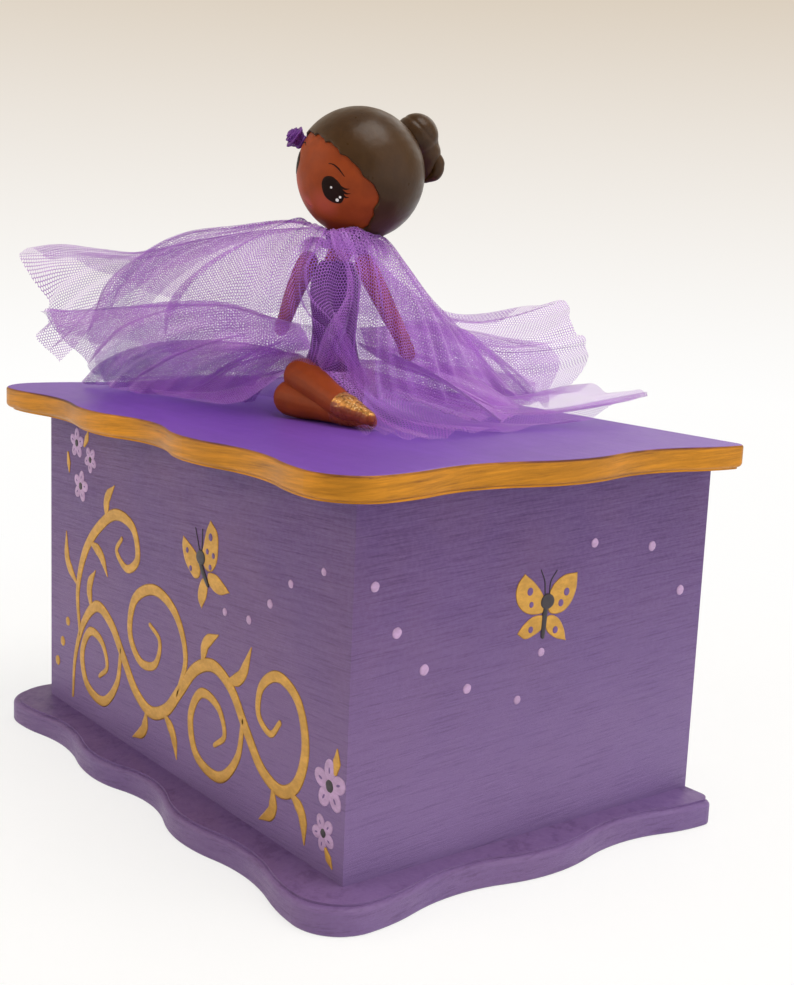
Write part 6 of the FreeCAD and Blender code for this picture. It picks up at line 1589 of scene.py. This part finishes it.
def pointed(keys, count):
    """A smooth closed outline that stays sharp at its first key."""
    tip, before, after = (np.array(keys[k]) for k in (0, -1, 1))
    near = [tip + (after - tip) * TIP_SHARE, *keys[1:], tip + (before - tip) * TIP_SHARE]
    return np.vstack([[tip], smooth_line(near, count)])


class JEWEL_OT_ornament(bpy.types.Operator):
    """Paint the butterflies, flowers, dots and vine on the walls"""

    bl_idname = "jewel.ornament"
    bl_label = "Painted ornament"

    def execute(self, context):
        look = settings().ornament
        self.height = look.thickness
        self.gold = paint_finish("ornament_gold", look.gold, 0.3)
        self.lilac = paint_finish("ornament_lilac", look.lilac)
        self.purple = paint_finish("ornament_purple", SPOT_PURPLE)
        self.dark = paint_finish("ornament_dark", look.dark)
        self.butterfly("side_butterfly", side_place, *SIDE_BUTTERFLY)
        self.butterfly("front_butterfly", front_place, *FRONT_BUTTERFLY)
        self.rings = petal_rings()
        self.dots(look.dot_radius)
        self.flowers(look.petals)
        self.vine()
        return {"FINISHED"}

    def piece(self, name, meshes, finish):
        """Join painted shapes into one piece on the box."""
        add_object(name, join_meshes(name, meshes), finish, "box")

    def stroke(self, keys, widths, place, height, count=48):
        """A brush stroke whose height is given in paint thicknesses."""
        return stroke_mesh("stroke", keys, widths, place, self.height * height, count)

    def butterfly(self, name, place, spot, wings, spots, tail, feelers):
        """Gold wings with dark spots, a dark body and feelers."""
        def put(points):
            return (np.array(points) + spot) * MM
        shapes = [patch_mesh("wing", put(pointed(wing, 56)), place, self.height) for wing in wings]
        self.piece(name + "_wings", shapes, self.gold)
        ovals = [patch_mesh("spot", put(disc((x, y), r, r * 1.1)), place, self.height * 1.8)
                 for x, y, r in spots]
        self.piece(name + "_spots", ovals, self.purple)
        body = [patch_mesh("head", put(disc((0.2, 0.0), 2.9, 2.5)), place, self.height * 2.2)]
        body.append(self.stroke(put(tail), mm(TAIL_WIDTHS), place, 2.0))
        body += [self.stroke(put(feeler), mm(FEELER_WIDTHS), place, 1.0) for feeler in feelers]
        self.piece(name + "_body", body, self.dark)

    def grow(self, name, place, spots, sizes, turns, values):
        """Rings of petals grown on points of a wall, as one piece."""
        points = bpy.data.meshes.new(name)
        points.from_pydata([tuple(place(a * MM, b * MM, 0)) for a, b in spots], [], [])
        for key, numbers in (("size", sizes), ("turn", turns)):
            held = points.attributes.new(key, "FLOAT", "POINT")
            held.data.foreach_set("value", np.array(numbers, np.float32))
        work = link(name + "_work", points)
        modifier = work.modifiers.new("grow", "NODES")
        modifier.node_group = self.rings
        sockets = {s.name: s.identifier for s in self.rings.interface.items_tree if s.in_out == "INPUT"}
        for key, value in {**values, "Wall Turn": WALL_TURNS[place]}.items():
            modifier[sockets[key]] = value
        add_object(name, evaluated_mesh(name, work, points), None, "box")

    def dots(self, radius):
        """Dots of lilac and gold, grown on points."""
        for name, place, spots, finish, size in (
                ("front_lilac_dots", front_place, FRONT_DOTS, self.lilac, 0.92),
                ("side_lilac_dots", side_place, SIDE_DOTS, self.lilac, 1.08),
                ("front_gold_dots", front_place, GOLD_DOTS, self.gold, 1.25)):
            sizes = [size * (1 + 0.12 * math.sin(7.3 * k)) for k in range(len(spots))]
            turns = [math.pi / 2 + 0.3 * math.sin(5.1 * k) for k in range(len(spots))]
            self.grow(name, place, spots, sizes, turns, {
                "Petals": 5, "Ring Radius": radius * 0.12, "Petal Length": radius,
                "Petal Width": radius * 0.95, "Height": self.height * 1.6, "Material": finish})

    def flowers(self, petals):
        """Flowers with a darker heart, and gold buds."""
        spots = [flower[:2] for flower in FLOWERS]
        sizes = [flower[2] * MM for flower in FLOWERS]
        turns = [flower[3] for flower in FLOWERS]
        for name, finish, ring, length, width, height in (
                ("front_flower_petals", self.lilac, 0.58, 0.46, 0.36, 1.3),
                ("front_flower_veins", self.purple, 0.60, 0.2, 0.09, 1.6),
                ("front_flower_hearts", self.dark, 0.05, 0.22, 0.2, 1.9)):
            self.grow(name, front_place, spots, sizes, turns, {
                "Petals": petals, "Ring Radius": ring, "Petal Length": length, "Petal Width": width,
                "Height": self.height * height, "Material": finish})
        buds = [self.stroke(mm(keys), BUD_WIDTHS * width * MM, front_place, 1.2, 20) for keys, width in BUDS]
        self.piece("front_gold_buds", buds, self.gold)

    def vine(self):
        """A vine of curling gold strokes with leaves across the front."""
        painted = [self.stroke(mm(keys), mm(widths), front_place, 1.1, 8 * len(keys))
                   for keys, widths in VINE]
        painted += [self.stroke(mm(keys), mm(LEAF_WIDTHS), front_place, 1.0, 30) for keys in VINE_LEAVES]
        self.piece("front_gold_scrolls", painted, self.gold)


# Stage

FLOOR_RADII = (0.0, 0.35, 0.7, 1.0)
SWEEP_RADIUS = 1.2
WALL_RADIUS = FLOOR_RADII[-1] + SWEEP_RADIUS
WALL_HEIGHTS = (2.0, 3.2)
FLOOR_WHITE, PAPER_WHITE, PAPER_CREAM = (0.97, 0.965, 0.955), (1.0, 0.995, 0.985), (0.71, 0.62, 0.51)
ROOM_LIGHT, ROOM_STRENGTH = (1.0, 0.985, 0.96), 0.36
# Name, place, size, power and tint of each soft box
SOFT_BOXES = (
    ("over_light", (0.34, 0.08, 1.08), 0.65, 7.0, (1.0, 0.97, 0.92)),
    ("front_light", (-0.55, -1.05, 0.65), 0.8, 4.3, (1.0, 0.91, 0.79)),
    ("side_light", (1.10, 0.50, 0.35), 1.4, 5.6, (0.94, 0.95, 1.0)),
    ("back_light", (-0.5, 1.2, 0.9), 0.9, 2.4, (1.0, 0.99, 0.97)),
)
LIGHT_TARGET = Vector((0, 0, 0.12))
CAMERA_SPOT = (0.4064535, -0.2954199, 0.1916377)
CAMERA_RIGHT = Vector((0.60444, 0.79555, 0.04181))
CAMERA_DOWN = Vector((0.16562, -0.07415, -0.98340))
CAMERA_AHEAD = Vector((-0.77924, 0.60133, -0.17658))
CAMERA_SENSOR, CAMERA_LENS = 36.0, 51.92


class JEWEL_OT_stage(bpy.types.Operator):
    """Set the floor, backdrop, soft lights and camera"""

    bl_idname = "jewel.stage"
    bl_label = "Stage"

    def execute(self, context):
        scene = context.scene
        scene.view_settings.view_transform = "Standard"
        scene.cycles.transparent_max_bounces = 48
        self.backdrop()
        self.room(scene)
        self.lights()
        self.camera(scene)
        return {"FINISHED"}

    def backdrop(self):
        """A white floor that sweeps up into a cream wall all round."""
        bend = [math.radians(a) for a in range(10, 91, 10)]
        profile = [(radius, 0.0) for radius in FLOOR_RADII]
        profile += [(FLOOR_RADII[-1] + SWEEP_RADIUS * math.sin(a), SWEEP_RADIUS * (1 - math.cos(a)))
                    for a in bend]
        profile += [(WALL_RADIUS, height) for height in WALL_HEIGHTS]
        around = 96
        points = [(r * math.cos(a), r * math.sin(a), z) for r, z in profile for a in angles(around)]
        mesh = bpy.data.meshes.new("sweep")
        mesh.from_pydata(points, [], grid_faces(len(profile), around, wrap=True))
        mesh.polygons.foreach_set("use_smooth", [True] * len(mesh.polygons))
        mesh.materials.append(self.paper())
        sweep = link("sweep", mesh)
        sweep.visible_shadow = False

    def paper(self):
        """Paper that glows evenly where it is seen and takes a soft shadow near the box."""
        made, tree, shader = material("sweep_paper", Base_Color=rgb(FLOOR_WHITE), Roughness=0.9)
        place = tree.place()
        rise = tree.add("ShaderNodeMapRange", {0: tree.axis(place, 2), 1: 0.02, 2: 0.62}).outputs[0]
        cream = tree.mix(rise, rgb(PAPER_WHITE), rgb(PAPER_CREAM))
        glow = tree.add("ShaderNodeEmission", {"Color": cream, "Strength": 1.0}).outputs[0]
        path = tree.add("ShaderNodeLightPath").outputs
        mirrored = tree.math("MAXIMUM", path["Is Glossy Ray"], path["Is Transmission Ray"])
        seen = tree.math("MAXIMUM", path["Is Camera Ray"], mirrored)
        away = tree.vector("LENGTH", tree.join(tree.axis(place, 0), tree.axis(place, 1)), output="Value")
        far = tree.spread(away, 0.13, 0.42, 0.74, 1.0)
        lit = shader["Base Color"].node.outputs[0]
        both = tree.add("ShaderNodeMixShader", {0: tree.times(seen, far), 1: lit, 2: glow}).outputs[0]
        tree.feed(made.node_tree.nodes["Material Output"].inputs["Surface"], both)
        return made

    def room(self, scene):
        """Even light from all round."""
        scene.world = bpy.data.worlds.new("room")
        scene.world.use_nodes = True
        light = scene.world.node_tree.nodes["Background"].inputs
        light["Color"].default_value = rgb(ROOM_LIGHT)
        light["Strength"].default_value = ROOM_STRENGTH

    def lights(self):
        """Soft boxes over, before, beside and behind the box."""
        for name, spot, size, power, tint in SOFT_BOXES:
            lamp = bpy.data.lights.new(name, "AREA")
            lamp.size, lamp.energy, lamp.color = size, power, tint
            made = link(name, lamp)
            made.location = spot
            made.rotation_euler = (LIGHT_TARGET - Vector(spot)).to_track_quat("-Z", "Y").to_euler()

    def camera(self, scene):
        """The photograph's viewpoint."""
        lens = bpy.data.cameras.new("camera")
        lens.sensor_width, lens.lens = CAMERA_SENSOR, CAMERA_LENS
        lens.clip_start, lens.clip_end = 0.01, 20.0
        made = link("camera", lens)
        turn = Matrix((CAMERA_RIGHT, -CAMERA_DOWN, -CAMERA_AHEAD)).transposed().to_4x4()
        made.matrix_world = Matrix.Translation(CAMERA_SPOT) @ turn
        scene.camera = made


class JEWEL_PT_panel(bpy.types.Panel):
    """Lists the steps that build the jewellery box"""

    bl_idname = "JEWEL_PT_panel"
    bl_label = "Jewellery Box"
    bl_space_type = "VIEW_3D"
    bl_region_type = "UI"
    bl_category = "Jewellery Box"

    def draw(self, context):
        for step in STEPS:
            self.layout.operator(step.bl_idname)
        for part in ("box", "doll", "net", "ornament"):
            group = getattr(context.scene.jewellery_box, part)
            panel = self.layout.box()
            for name in group.__annotations__:
                panel.prop(group, name)


STEPS = (JEWEL_OT_box, JEWEL_OT_movement, JEWEL_OT_doll_body, JEWEL_OT_doll_head, JEWEL_OT_net_skirt,
         JEWEL_OT_ornament, JEWEL_OT_stage)
CLASSES = (BoxFinish, DollFinish, NetFinish, OrnamentFinish, JewelleryBoxSettings, *STEPS, JEWEL_PT_panel)


def register():
    for made in CLASSES:
        bpy.utils.register_class(made)
    bpy.types.Scene.jewellery_box = PointerProperty(type=JewelleryBoxSettings)


def unregister():
    del bpy.types.Scene.jewellery_box
    for made in reversed(CLASSES):
        bpy.utils.unregister_class(made)


def main():
    register()
    for step in STEPS:
        area, verb = step.bl_idname.split(".")
        getattr(getattr(bpy.ops, area), verb)()


if __name__ == "__main__":
    main()
